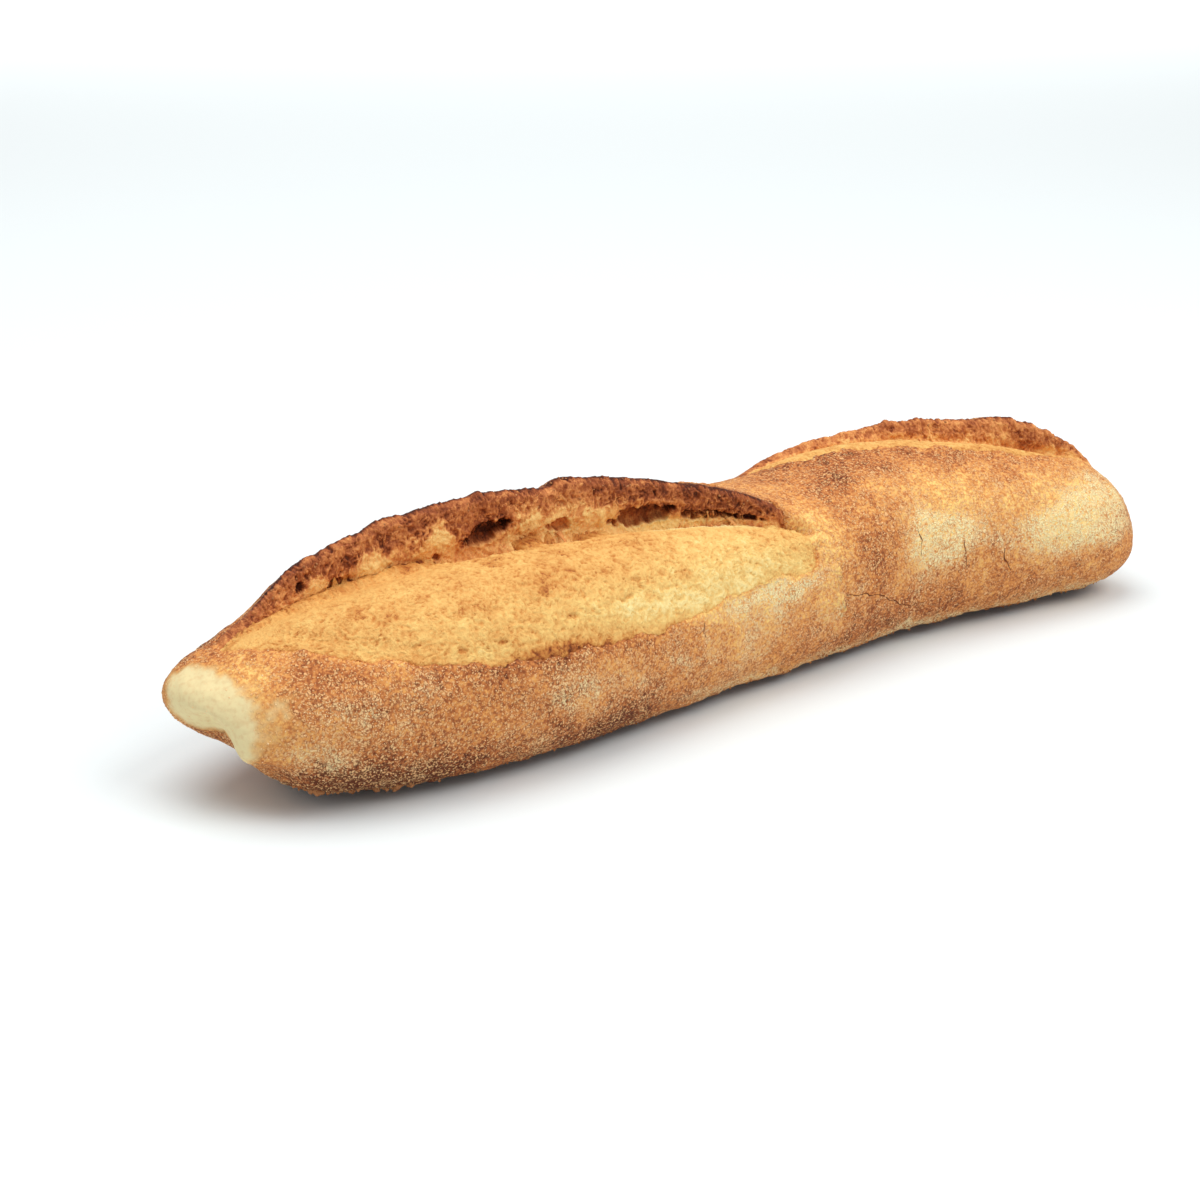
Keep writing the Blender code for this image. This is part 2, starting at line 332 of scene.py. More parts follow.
@dataclass(frozen=True)
class LoafForm:
    """The form of the frame's solid with the scene's own small trims: named sizes in millimetres."""

    length: float = 350.0
    stations: tuple[float, ...] = (-175.0, -133.0, -84.0, -28.0, 28.0, 70.0, 119.0, 175.0)
    half_width: tuple[float, ...] = (35.0, 41.0, 39.0, 36.5, 35.5, 33.5, 38.0, 38.5)
    crown: tuple[float, ...] = (45.0, 52.5, 56.0, 55.5, 55.0, 58.5, 56.0, 48.5)
    bend_stations: tuple[float, ...] = (-175.0, -87.5, 14.0, 101.5, 175.0)
    bend: tuple[float, ...] = (0.0, -5.5, 3.0, 7.5, -5.0)
    tip_height: float = 22.0
    widest_share: float = 0.42
    base_depth: float = 6.0
    squareness: float = 0.88
    near_bluntness: float = 3.0
    far_bluntness: float = 4.3
    girth: float = 38.0  # turns an angle round a section into a distance over the crust
    ear_distance: tuple[float, ...] = (
        -30.0, -5.0, -1.2, 0.0, 1.0, 2.2, 3.4, 4.4, 5.4, 7.5, 14.0, 26.0, 42.0, 60.0)
    ear_outward: tuple[float, ...] = (
        0.0, 0.05, -0.12, -0.31, -0.08, 0.31, 0.65, 0.89, 1.0, 0.95, 0.71, 0.32, 0.06, 0.0)
    ear_backward: tuple[float, ...] = (
        0.0, 0.0, 0.05, 0.23, 0.28, 0.12, 0.02, -0.05, 0.05, 0.09, 0.08, 0.04, 0.0, 0.0)
    bloom_swell: float = 2.2
    full_bloom: float = 30.0
    near: Slash = Slash(
        start=-160.0, end=37.0, ear_end=25.0, bloom_end=32.0,
        shares=(0.0, 0.061, 0.180, 0.373, 0.614, 0.855, 1.0),
        angle=(100.5, 100.6, 101.5, 97.5, 85.5, 64.5, 38.5),
        ear_height=(0.0, 2.9, 13.0, 16.0, 14.5, 7.5, 0.0),
        bloom_width=(0.0, 6.5, 34.5, 48.0, 45.0, 31.5, 0.0),
        lip_place=(3.0, 15.5, 37.5, 50.0, 46.0, 26.5, 13.0),
        rim_steps=(-105.0, -47.0))
    far: Slash = Slash(
        start=38.0, end=168.0, ear_end=168.0, bloom_end=167.0,
        shares=(0.0, 0.143, 0.334, 0.572, 0.811, 0.93, 1.0),
        angle=(117.5, 113.0, 104.5, 92.0, 80.0, 73.5, 69.5),
        ear_height=(0.0, 3.0, 4.2, 6.5, 8.9, 3.8, 0.0),
        bloom_width=(0.0, 15.5, 17.5, 15.5, 8.5, 3.0, 0.0),
        lip_place=(2.0, 12.0, 11.0, 10.5, 6.5, 3.0, 1.0),
        rim_steps=(131.0,), wavy_from=10.0)
    presses: tuple[Press, ...] = (
        Press((-174.0, 10.0, 28.0), (3.5, 1.0, 4.5), 24.0),  # lifts the nose
        Press((-172.0, -9.0, 9.0), (8.5, 2.5, 2.5), 12.0),  # notch under it
        Press((-153.0, 18.0, 4.0), (3.0, -1.5, 6.0), 16.0),  # hollow behind it
        Press((-168.0, -31.0, 13.0), (-4.5, -2.0, -2.0), 7.5),  # front lobe
        Press((-170.0, 8.0, 29.0), (-2.0, 1.5, 0.0), 8.0),  # the rest are the scene's own small trims
        Press((-165.0, -9.5, 22.0), (0.6, 0.0, 5.4), 5.2),
        Press((-161.0, -17.0, 18.0), (-1.2, -0.6, -0.9), 4.6),
        Press((-154.0, -21.5, 11.5), (0.6, 0.0, 3.2), 4.6),
        Press((163.0, -30.0, 16.0), (1.6, -1.0, -1.8), 12.0),
        Press((157.0, -14.0, 43.6), (0.0, 0.0, 1.8), 9.0),
        Press((-92.0, 10.5, 69.0), (0.0, 0.0, -1.6), 8.0),
        Press((160.0, -2.0, 50.0), (0.6, 0.0, 1.2), 9.0),
    )
    bloom_sink: float = 2.5  # how far the shell lies under a bloom
    ear_sink: float = 0.45  # how much lower the shell's own ear is, as a share
    ear_retreat: float = 6.8  # and how far it lies behind the ear's torn face
    lip_width: float = 1.3
    back_start: float = 6.0
    back_end: float = 8.6  # past this the shell is the ear's back
    full_ear: float = 6.0
    undercut: float = 0.34  # how much narrower the loaf is on the floor than just above it
    undercut_height: float = 4.3

    @property
    def crease_dip(self) -> float:
        """How deep the crease lies below the crust, as a share of the rim's height."""
        return -min(self.ear_outward)

    def fullness(self, x: Array) -> Array:
        """How full the section is at x: (1 - |x / half|^n)^(1/n), with n each end's bluntness."""
        power = np.where(x < 0, self.near_bluntness, self.far_bluntness)
        return np.clip(1 - np.abs(2 * x / self.length) ** power, 0, 1) ** (1 / power)

    def section(self, x: Array, angle: Array) -> tuple[Array, Array]:
        """Y and Z of the bare loaf at an angle round the section.

        A rounded box: powers of the cosine and sine, with a lower half that sinks below the floor.

        Args:
            x: places along the loaf.
            angle: radians, 0 at the front and a quarter turn on top.

        Returns:
            Y and Z.
        """
        full = self.fullness(x)
        top = curve_through(self.stations, self.crown, x)
        half_width = curve_through(self.stations, self.half_width, x) * full
        crown = self.tip_height + (top - self.tip_height) * full
        middle = self.tip_height + (self.widest_share * top - self.tip_height) * full
        bottom = self.tip_height - (self.base_depth + self.tip_height) * full
        across, up = np.cos(angle), np.sin(angle)
        across = np.sign(across) * np.abs(across) ** self.squareness
        up = np.sign(up) * np.abs(up) ** self.squareness
        y = curve_through(self.bend_stations, self.bend, x) - half_width * across
        return y, middle + np.where(up > 0, crown - middle, middle - bottom) * up

    def outward(self, x: Array, angle: Array) -> tuple[Array, Array]:
        """Unit direction out of the section, as Y and Z: its slope round the section, turned.

        Args:
            x: places along the loaf.
            angle: radians round the section.

        Returns:
            The direction's Y and Z.
        """
        nudge = 0.001
        y_after, z_after = self.section(x, angle + nudge)
        y_before, z_before = self.section(x, angle - nudge)
        dy, dz = y_after - y_before, z_after - z_before
        size = np.hypot(dy, dz) + 1e-9
        return -dz / size, dy / size

    def over(self, slash: Slash, x: Array, angle: Array) -> Array:
        """Distance over the crust from a slash's crease, towards its ear."""
        return self.girth * ((angle - slash.crease(x) + np.pi) % (2 * np.pi) - np.pi)

    def ear_share(self, over: Array) -> Array:
        """How high a place is on the ear, as a share of its rim's height."""
        return curve_through(self.ear_distance, self.ear_outward, over)

    def relief(self, slash: Slash, x: Array, angle: Array,
               sunk: Array | float) -> tuple[Array, Array]:
        """How far a slash shifts the skin outward and backward.

        The ear's shares times its rim's height, plus a bloom that swells as a soft hump. Sunk below
        the torn crumb, the ear is lower and further back, and the bloom is pressed in.

        Args:
            slash: the slash.
            x: places along the loaf.
            angle: radians round the section.
            sunk: 0 on the surface, 1 for the shell that lies under the crumb.

        Returns:
            The shifts outward and backward.
        """
        over = self.over(slash, x, angle)
        rim, width = slash.rim(x), slash.bloom(x)
        near_crease = (over > self.ear_distance[0]) & (over < self.ear_distance[-1])
        out = self.ear_share(over) * rim * near_crease
        back = curve_through(self.ear_distance, self.ear_backward, over) * rim * near_crease
        inside = (x > slash.start) & (x < slash.end)
        from_middle = (over + width / 2) / (width / 2)
        swell = np.clip(1 - from_middle ** 2, 0, 1) ** 2 * np.minimum(width / self.full_bloom, 1)
        before_back = 1 - smooth_step(over, self.back_start, self.back_end)
        lip, torn_ear = slash.lip(x), slash.torn_ear(x)
        ear = smooth_step(over, -0.5, 0.7) * before_back * np.clip(rim / self.full_ear, 0, 1) * torn_ear
        behind = smooth_step(over, 0.2, 1.2)
        torn = smooth_step(over, -lip, -lip + self.lip_width) * slash.depth_in(x, 3.0) * (1 - behind)
        torn = torn + behind * before_back * torn_ear
        down = sunk * (self.bloom_sink * torn + self.ear_sink * np.maximum(out, 0) * ear)
        return out + self.bloom_swell * swell * inside - down, back + sunk * self.ear_retreat * ear

    def skin(self, x: Array, angle: Array, sunk: Array | float = 0.0,
             extra: Array | float = 0.0) -> Array:
        """Points of the skin.

        The bare section, moved outward and backward by each slash, then pushed by each press and
        flattened on the floor. Just above the floor it is drawn in, up to a wavy height.

        Args:
            x: places along the loaf.
            angle: radians round the section.
            sunk: 0 on the surface, 1 for the shell that lies under the crumb.
            extra: a further shift outward.

        Returns:
            The points, the last axis of three.
        """
        y, z = self.section(x, angle)
        out_y, out_z = self.outward(x, angle)
        fade = np.sqrt(self.fullness(x))
        y, z = y + extra * out_y, z + extra * out_z
        for slash in (self.near, self.far):
            out, back = self.relief(slash, x, angle, sunk)
            y = y + (out * out_y + back * out_z) * fade
            z = z + (out * out_z - back * out_y) * fade
        points = np.stack((np.broadcast_to(x, y.shape), y, z), axis=-1)
        for press in self.presses:
            away = ((points - np.array(press.centre)) ** 2).sum(axis=-1, keepdims=True)
            points = points + np.array(press.push) * np.exp(-away / (2 * press.radius ** 2))
        height = np.maximum(points[..., 2], 0)
        uneven = self.undercut_height * (1 + 0.12 * np.sin(x / 5.3 + 1) + 0.08 * np.sin(x / 2.3 + 2))
        tuck = self.undercut * (1 - smooth_step(height / uneven, 0, 1)) ** 0.9
        middle = curve_through(self.bend_stations, self.bend, x)
        points[..., 1] = points[..., 1] + (middle - points[..., 1]) * tuck
        points[..., 0] = points[..., 0] * (1 - 0.25 * tuck)
        points[..., 2] = height
        return points

    def beside(self, slash: Slash, x: Array, over: Array, sunk: Array | float = 0.0,
               extra: Array | float = 0.0) -> Array:
        """Points of the skin at distances over the crust from a slash's crease."""
        return self.skin(x, slash.crease(x) + over / self.girth, sunk, extra)

    def stations_over(self, count: int) -> Array:
        """Places along the loaf from tip to tip, evenly spaced over its skin.

        Args:
            count: how many.

        Returns:
            The places.
        """
        turn = np.linspace(-np.pi / 2, np.pi / 2, 4001)
        power = 2 / np.where(turn < 0, self.near_bluntness, self.far_bluntness)
        x = self.length / 2 * np.sign(turn) * np.abs(np.sin(turn)) ** power
        steps = np.hypot(np.diff(x), self.girth * np.diff(np.clip(np.cos(turn), 0, None) ** power))
        skin = np.concatenate(([0], np.cumsum(steps)))
        return np.interp(np.linspace(0, skin[-1], count), skin, x)


FORM = LoafForm()


def placed(points: Array) -> Array:
    """Move points of the form into the frame, in metres.

    The form's own box is centred over the frame's box of the solid.

    Args:
        points: in the form's millimetres.

    Returns:
        The points in the frame.
    """
    return points * MM + SHIFT


def frame_shift() -> Array:
    """The move that lays the form's box centre over the solid's, in metres.

    Returns:
        The move along X and Y, and none along Z.
    """
    x = FORM.stations_over(240)[:, None]
    points = FORM.skin(x, np.linspace(0, 2 * np.pi, 240, endpoint=False)[None]).reshape(-1, 3) * MM
    low, high = (np.array(corner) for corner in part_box(NODE))
    middle = (low + high) / 2 - (points.min(0) + points.max(0)) / 2
    return np.array((middle[0], middle[1], 0.0))


SHIFT = frame_shift()


# ---------------------------------------------------------------- meshes


def grid_normals(points: Array) -> Array:
    """Unit directions out of a grid: the cross product of its two slopes.

    Args:
        points: rows along the loaf, columns round it.

    Returns:
        One direction a point.
    """
    return unit(np.cross(np.gradient(points, axis=0), np.gradient(points, axis=1)))


def normal_of(points: Array, height: Array) -> Array:
    """A shift of the given height along a grid's own directions."""
    return grid_normals(points) * height[..., None]


def put_mesh(name: str, vertices: Array, quads: Array, triangles: Array) -> Mesh:
    """Put arrays into a mesh.

    Args:
        name: the mesh's name.
        vertices: in metres, in the frame.
        quads: four corners a face.
        triangles: three corners a face.

    Returns:
        The mesh.
    """
    mesh = bpy.data.meshes.new(name)
    mesh.vertices.add(len(vertices))
    mesh.vertices.foreach_set("co", vertices.astype(np.float32).ravel())
    corners = np.concatenate((quads.ravel(), triangles.ravel())).astype(np.int32)
    mesh.loops.add(len(corners))
    mesh.loops.foreach_set("vertex_index", corners)
    starts = np.concatenate((np.arange(len(quads)) * 4, quads.size + np.arange(len(triangles)) * 3))
    mesh.polygons.add(len(starts))
    mesh.polygons.foreach_set("loop_start", starts.astype(np.int32))
    mesh.update(calc_edges=True)
    mesh.validate()
    return mesh


def add_piece(mesh: Mesh, materials: list[Material]) -> Piece:
    """Show a mesh as a piece that rides on the loaf's body.

    Args:
        mesh: in the frame.
        materials: its finishes.

    Returns:
        The piece.
    """
    piece = bpy.data.objects.new(mesh.name, mesh)
    bpy.context.scene.collection.objects.link(piece)
    for material in materials:
        mesh.materials.append(material)
    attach(piece, BODY)
    LOG.info("%s: %d faces", mesh.name, len(mesh.polygons))
    return piece


def put_mark(mesh: Mesh, name: str, values: Array) -> None:
    """Put a named value on each vertex, for a finish to read."""
    mesh.attributes.new(name, "FLOAT", "POINT").data.foreach_set("value", values.astype(np.float32))


def band_quads(index: Array) -> Array:
    """Quads between neighbouring rows of vertex numbers that are closed round.

    Args:
        index: vertex numbers, the last two axes rows and the places round a row.

    Returns:
        Four corners a quad: a vertex, the next row's, that one's neighbour, the vertex's neighbour.
    """
    beside = np.roll(index, -1, axis=-1)
    corners = (index[..., :-1, :], index[..., 1:, :], beside[..., 1:, :], beside[..., :-1, :])
    return np.stack(corners, axis=-1).reshape(-1, 4)


def closed_faces(rows: int, columns: int) -> tuple[Array, Array]:
    """Faces of a grid that is closed round and has a pole at either end, numbered after it.

    Args:
        rows: how many rows of vertices.
        columns: how many vertices round a row.

    Returns:
        The quads between the rows, and the triangles round the two poles.
    """
    index = np.arange(rows * columns).reshape(rows, columns)
    beside = np.roll(index, -1, axis=1)
    pole = np.full(columns, rows * columns)
    fans = np.concatenate((
        np.stack((pole, index[0], beside[0]), axis=-1),
        np.stack((pole + 1, beside[-1], index[-1]), axis=-1)))
    return band_quads(index), fans


def closed_skin(name: str, points: Array, marks: dict[str, Array]) -> Mesh:
    """Smooth closed mesh of a grid that is closed round, with its first and last rows as two poles.

    Args:
        name: the mesh's name.
        points: rows along the loaf, columns round, in millimetres.
        marks: named values at the points, for the finishes.

    Returns:
        The mesh.
    """
    body, tips = points[1:-1], points[[0, -1]].mean(axis=1)
    vertices = placed(np.concatenate((body.reshape(-1, 3), tips)))
    mesh = put_mesh(name, vertices, *closed_faces(*body.shape[:2]))
    for key, value in marks.items():
        value = np.broadcast_to(value, points.shape[:2])
        put_mark(mesh, key, np.concatenate((value[1:-1].ravel(), value[[0, -1]].mean(axis=1))))
    mesh.shade_smooth()
    return mesh


def with_poles(points: Array) -> Array:
    """Add a row in the middle of the first row, and one in the middle of the last.

    Args:
        points: rows along the loaf, columns round.

    Returns:
        The points with two more rows, which become the poles.
    """
    first = np.broadcast_to(points[:1].mean(axis=1, keepdims=True), points[:1].shape)
    last = np.broadcast_to(points[-1:].mean(axis=1, keepdims=True), points[-1:].shape)
    return np.concatenate((first, points, last))


# ---------------------------------------------------------------- where the crust is pale or dark


@dataclass(frozen=True)
class Spot:
    """A soft patch on the loaf: its centre, its reach along X and across, and how strong it is."""

    centre: tuple[float, float, float]
    reach: tuple[float, float]
    amount: float = 1.0

    def at(self, points: Array) -> Array:
        """The patch at some points: a bell of the distance, each way over its own reach.

        Args:
            points: places on the loaf, in millimetres.

        Returns:
            How strong it is at each point.
        """
        away = points - np.array(self.centre)
        square = (away[..., 0] / self.reach[0]) ** 2
        square = square + (away[..., 1] ** 2 + away[..., 2] ** 2) / self.reach[1] ** 2
        return self.amount * np.exp(-square)


def total(patches: tuple, *places: Array) -> Array:
    """Sum of soft patches at the places that their own at() takes."""
    return sum((patch.at(*places) for patch in patches), 0.0)


@dataclass(frozen=True)
class CrustMap:
    """Where the crust is floured, dark, pale or unbaked, as soft fields over the loaf, and where shade is
    painted on it near the floor.
    """

    flour_spots: tuple[Spot, ...] = (
        Spot((78, -26, 36), (12, 13), 0.52), Spot((90, -27, 35), (11, 9), 0.5),
        Spot((130, -31, 30), (15, 10), 0.42), Spot((148, -30, 33), (15, 12), 0.5),
        Spot((112, -28, 31), (13, 8), 0.20), Spot((158, -27, 33), (14, 12), 0.5),
        Spot((-5, -34, 35), (16, 6), 0.4), Spot((16, -31, 36), (13, 7), 0.62),
        Spot((-130, -38, 34), (22, 12), 0.08), Spot((-146, -30, 24), (10, 10), 0.18),
        Spot((-70, -38, 22), (24, 10), 0.10), Spot((40, -30, 22), (18, 9), 0.12),
        Spot((-5, -37, 20), (54, 13), 0.22), Spot((-95, -41, 29), (48, 9), 0.07),
    )
    dark_spots: tuple[Spot, ...] = (
        Spot((-94, -41, 34), (15, 7), 0.11), Spot((-58, -39, 34), (22, 5), 0.08),
        Spot((62, -26, 12), (16, 12), 0.10), Spot((118, -28, 10), (26, 10), 0.06),
        Spot((60, -6, 58), (16, 12), 0.10), Spot((-55, -37, 10), (24, 9), 0.15),
        Spot((-130, -28, 8), (32, 12), 0.42), Spot((-120, 30, 40), (40, 16), 0.2),
        Spot((50, -27, 40), (12, 12), 0.08), Spot((-168, -6, 19), (7, 9), 0.50),
        Spot((-166, 18, 38), (13, 9), 0.50), Spot((-138, -34, 32), (20, 12), 0.10),
        Spot((-163, -24, 13), (7, 5), 0.30), Spot((-120, -36, 26), (30, 14), 0.08),
    )
    pale_spots: tuple[Spot, ...] = (
        Spot((33, -12, 54), (12, 12), 0.19), Spot((35, -26, 40), (7, 11), 0.30),
        Spot((35, -20, 48), (5, 9), 0.12), Spot((-10, -36, 24), (60, 16), 0.12),
        Spot((-152, -16, 43), (10, 9), 0.12), Spot((-157, -24, 32), (4, 14), 0.10),
        Spot((96, -20, 43), (24, 12), 0.30), Spot((144, -25, 36), (20, 14), 0.34),
        Spot((20, 5, 56), (22, 12), 0.14), Spot((-158, -3, 46), (8, 10), 0.24),
        Spot((84, -26, 36), (14, 9), 0.18), Spot((92, -28, 15), (18, 8), 0.12),
        Spot((-150, -28, 22), (8, 9), 0.12), Spot((84, -12, 54), (24, 9), 0.14),
    )
    cream_spots: tuple[Spot, ...] = (
        Spot((-168, 1, 31.5), (6.5, 10), 1.15), Spot((-166.5, -9, 32.5), (7.5, 10.5), 1.25),
        Spot((-163.5, -15.5, 28), (6, 8.5), 1.1), Spot((-161.5, -18, 20.5), (5.5, 6), 0.75),
        Spot((-153, -24, 30), (8, 16), 0.50),
    )

    def marks(self, points: Array) -> dict[str, Array]:
        """The fields that the crust's finish reads: noise of a few sizes plus the named patches.

        The foot is floured, most of all towards the far end. Painted shade darkens the crust towards
        the floor, less towards the far end, and most of all on the narrow strip under the foot.

        Args:
            points: places on the loaf, in millimetres.

        Returns:
            flour, bake with painted shade, and cream at each point.
        """
        broad = soft_noise(points, 34.0, 5, 3)
        mottle = soft_noise(points, 9.0, 11, 3)
        blotch = soft_noise(points, 5.0, 13, 3)
        height = points[..., 2]
        flour = 0.30 + 0.10 * broad + 0.14 * soft_noise(points, 13.0, 19, 3) + 0.16 * blotch
        to_far = smooth_step(points[..., 0], -70.0, 30.0)
        flour = flour + (0.12 + 0.40 * to_far) * (1 - smooth_step(height + 3.0 * mottle, 4.0, 11.0))
        patches = total(self.flour_spots, points)
        flour = np.minimum(flour + 1.25 * patches, 1.0)
        bake = 0.44 + 0.13 * soft_noise(points, 26.0, 23, 3) + 0.13 * mottle + 0.06 * blotch
        bake = bake + total(self.dark_spots, points) - total(self.pale_spots, points)
        bake = bake - 0.22 * np.minimum(patches, 1) + 0.14 * smooth_step(height, 46.0, 56.0)
        pale_edge = np.clip(0.12 + 0.4 * mottle + 0.45 * to_far, 0, 1)
        pale_edge = pale_edge * (1 - smooth_step(height, 5.0, 10.0))
        # painted shade: the crust darkens towards the floor, less so towards the far end; the floured foot
        # is paler
        bake = bake + (0.32 - 0.20 * to_far) * (1 - smooth_step(height, 2.0, 26.0)) - 0.36 * pale_edge
        # painted shade: the narrow strip under the foot is dark and bare of flour
        under = 1 - smooth_step(height, 2.6, 4.8)
        bake, flour = bake + 0.8 * under, flour * (1 - under)
        cream = total(self.cream_spots, points) + 0.10 * mottle + 0.16 * soft_noise(points, 2.6, 29, 4)
        cream = smooth_step(cream, 0.22, 1.15)
        return {"flour": np.clip(flour * (1 - cream), 0, 1), "bake": np.clip(bake, 0, 1), "cream": cream}


CRUST_MAP = CrustMap()


# ---------------------------------------------------------------- finishes


class NodeSheet:
    """A material's node tree, with short calls for the nodes that the finishes use."""

    def __init__(self, name: str) -> None:
        """Start an empty tree with a shader and an output.

        Args:
            name: the material's name.
        """
        self.material = bpy.data.materials.new(name)
        self.material.use_nodes = True
        self.tree = self.material.node_tree
        self.shader = self.tree.nodes["Principled BSDF"]
        self.place = self.add("ShaderNodeTexCoord", {}).outputs["Object"]

    def feed(self, value: Socket | float | tuple, socket: Socket) -> None:
        """Link a value into a socket, or set it there if it is a number, a colour or a vector.

        Args:
            value: the value.
            socket: the socket that takes it.
        """
        if isinstance(value, Socket):
            self.tree.links.new(value, socket)
        else:
            socket.default_value = value

    def add(self, kind: str, inputs: dict[str | int, Socket | float | tuple],
            **settings: str) -> bpy.types.Node:
        """Add a node.

        Args:
            kind: what kind of node.
            inputs: what its sockets take.
            settings: its own settings.

        Returns:
            The node.
        """
        node = self.tree.nodes.new(kind)
        for name, value in settings.items():
            setattr(node, name, value)
        for name, value in inputs.items():
            self.feed(value, node.inputs[name])
        return node

    def mark(self, name: str) -> Socket:
        """Read one of the mesh's named values."""
        return self.add("ShaderNodeAttribute", {}, attribute_name=name).outputs["Fac"]

    def noise(self, size: float, detail: float = 2.0, warp: float = 0.0) -> Socket:
        """Cloudy noise, about 0.5 in the mean, whose blobs are about the given size in millimetres."""
        node = self.add("ShaderNodeTexNoise", {
            "Scale": 1 / (size * MM), "Detail": detail, "Distortion": warp, "Vector": self.place})
        return node.outputs["Fac"]

    def cells(self, size: float, place: Socket) -> tuple[Socket, Socket, Socket]:
        """Cells of the given size: the distance from a cell's core, and two lots of the cell."""
        cell = self.add("ShaderNodeTexVoronoi", {"Scale": 1 / (size * MM), "Vector": place})
        lots = self.add("ShaderNodeSeparateColor", {"Color": cell.outputs["Color"]})
        return cell.outputs["Distance"], lots.outputs["Red"], lots.outputs["Green"]

    def grains(self, size: float, cover: float, radius: float) -> Socket:
        """Soft round dots, one to a cell of the given size, in a given share of the cells.

        Args:
            size: the cells' size in millimetres.
            cover: the share of cells that hold a dot.
            radius: the dots' size as a share of a cell.

        Returns:
            1 in a dot, 0 outside.
        """
        distance, lot, size_lot = self.cells(size, self.place)
        reach = self.math("ADD", self.times(size_lot, radius * 0.6), radius * 0.6)
        dot = self.between(self.math("SUBTRACT", reach, distance), 0.0, 0.12)
        return self.chosen(dot, lot, cover)

    def sand(self, size: float) -> tuple[Socket, Socket]:
        """Packed sandy grains: the round tops of cells whose places are pulled about.

        Args:
            size: the grains' size in millimetres.

        Returns:
            1 in the middle of a grain and 0 between grains, and the grain's lot.
        """
        pull = self.add("ShaderNodeTexNoise", {"Scale": 1 / (1.7 * size * MM), "Vector": self.place})
        reach = (2.2 * size * MM,) * 3
        shifted = self.add("ShaderNodeVectorMath", {
            0: pull.outputs["Color"], 1: reach, 2: self.place}, operation="MULTIPLY_ADD")
        distance, lot, _ = self.cells(size, shifted.outputs[0])
        return self.between(self.math("SUBTRACT", 0.74, distance), 0.20, 0.46), lot

    def hairlines(self, size: float, width: float) -> Socket:
        """Thin wandering lines, where a cloudy noise crosses its middle, in patches.

        Args:
            size: the noise's size in millimetres.
            width: how far from the middle a line still reaches.

        Returns:
            1 on a line, 0 off it.
        """
        off = self.math("ABSOLUTE", self.math("SUBTRACT", self.noise(size, 2.0, 0.8), 0.5))
        patches = self.between(self.noise(5.0, 2.0), 0.46, 0.58)
        return self.times(self.between(off, width, 0.0), patches)

    def drawn(self, size: float, drawn_out: float) -> Socket:
        """Noise drawn out across a slash, over the mesh's own distances along and over.

        Args:
            size: the streaks' width in millimetres.
            drawn_out: their length over their width.

        Returns:
            The noise, about 0.5 in the mean.
        """
        across = self.math("DIVIDE", self.mark("across"), drawn_out)
        place = self.add("ShaderNodeCombineXYZ", {0: self.mark("along"), 1: across})
        node = self.add("ShaderNodeTexNoise", {
            "Scale": 1 / size, "Detail": 3.0, "Distortion": 0.8, "Vector": place.outputs[0]})
        return node.outputs["Fac"]

    def math(self, operation: str, first: Socket | float, second: Socket | float = 0.0) -> Socket:
        """Reckon with two values, by the math node's own name for the operation."""
        return self.add("ShaderNodeMath", {0: first, 1: second}, operation=operation).outputs[0]

    def times(self, first: Socket | float, second: Socket | float) -> Socket:
        """Multiply two values."""
        return self.math("MULTIPLY", first, second)

    def chosen(self, grain: Socket, lot: Socket, share: Socket | float) -> Socket:
        """Keep only the grains whose lot is below a share."""
        return self.times(self.math("LESS_THAN", lot, share), grain)

    def between(self, value: Socket, low: float, high: float) -> Socket:
        """Change smoothly from 0 at low to 1 at high."""
        node = self.add("ShaderNodeMapRange", {
            "Value": value, "From Min": low, "From Max": high}, interpolation_type="SMOOTHSTEP")
        return node.outputs["Result"]

    def ramp(self, value: Socket, stops: tuple[tuple[float, Colour], ...]) -> Socket:
        """Read a run of colours that are blended between their places.

        Args:
            value: where to read it.
            stops: rising places from 0 to 1, with the colour at each.

        Returns:
            The colour.
        """
        node = self.add("ShaderNodeValToRGB", {"Fac": value})
        points = node.color_ramp.elements
        while len(points) < len(stops):
            points.new(0.5)
        for point, (place, colour) in zip(points, stops):
            point.position, point.color = place, colour
        return node.outputs["Color"]

    def blend(self, share: Socket | float, first: Socket | Colour, second: Socket | Colour) -> Socket:
        """Lay the second colour over the first by a share."""
        return self.add("ShaderNodeMix", {0: share, 6: first, 7: second}, data_type="RGBA").outputs[2]

    def sums(self, *terms: tuple[Socket | float, float]) -> Socket:
        """Add values, each times its weight.

        Args:
            terms: pairs of a value and its weight.

        Returns:
            The sum.
        """
        total_so_far = 0.0
        for value, weight in terms:
            total_so_far = self.math("ADD", self.times(value, weight), total_so_far)
        return total_so_far

    def finish(self, colour: Socket, roughness: Socket | float, height: Socket, depth: float,
               gloss: float) -> Material:
        """Feed the shader and close the sheet.

        Args:
            colour: the skin's colour.
            roughness: from 0, shiny, to 1, matt.
            height: fine relief from 0 to 1.
            depth: how deep that relief is, in millimetres.
            gloss: the specular level.

        Returns:
            The material.
        """
        relief = self.add("ShaderNodeBump", {"Strength": 1.0, "Distance": depth * MM, "Height": height})
        self.feed(relief.outputs["Normal"], self.shader.inputs["Normal"])
        self.feed(colour, self.shader.inputs["Base Color"])
        self.feed(roughness, self.shader.inputs["Roughness"])
        self.feed(gloss, self.shader.inputs["Specular IOR Level"])
        return self.material


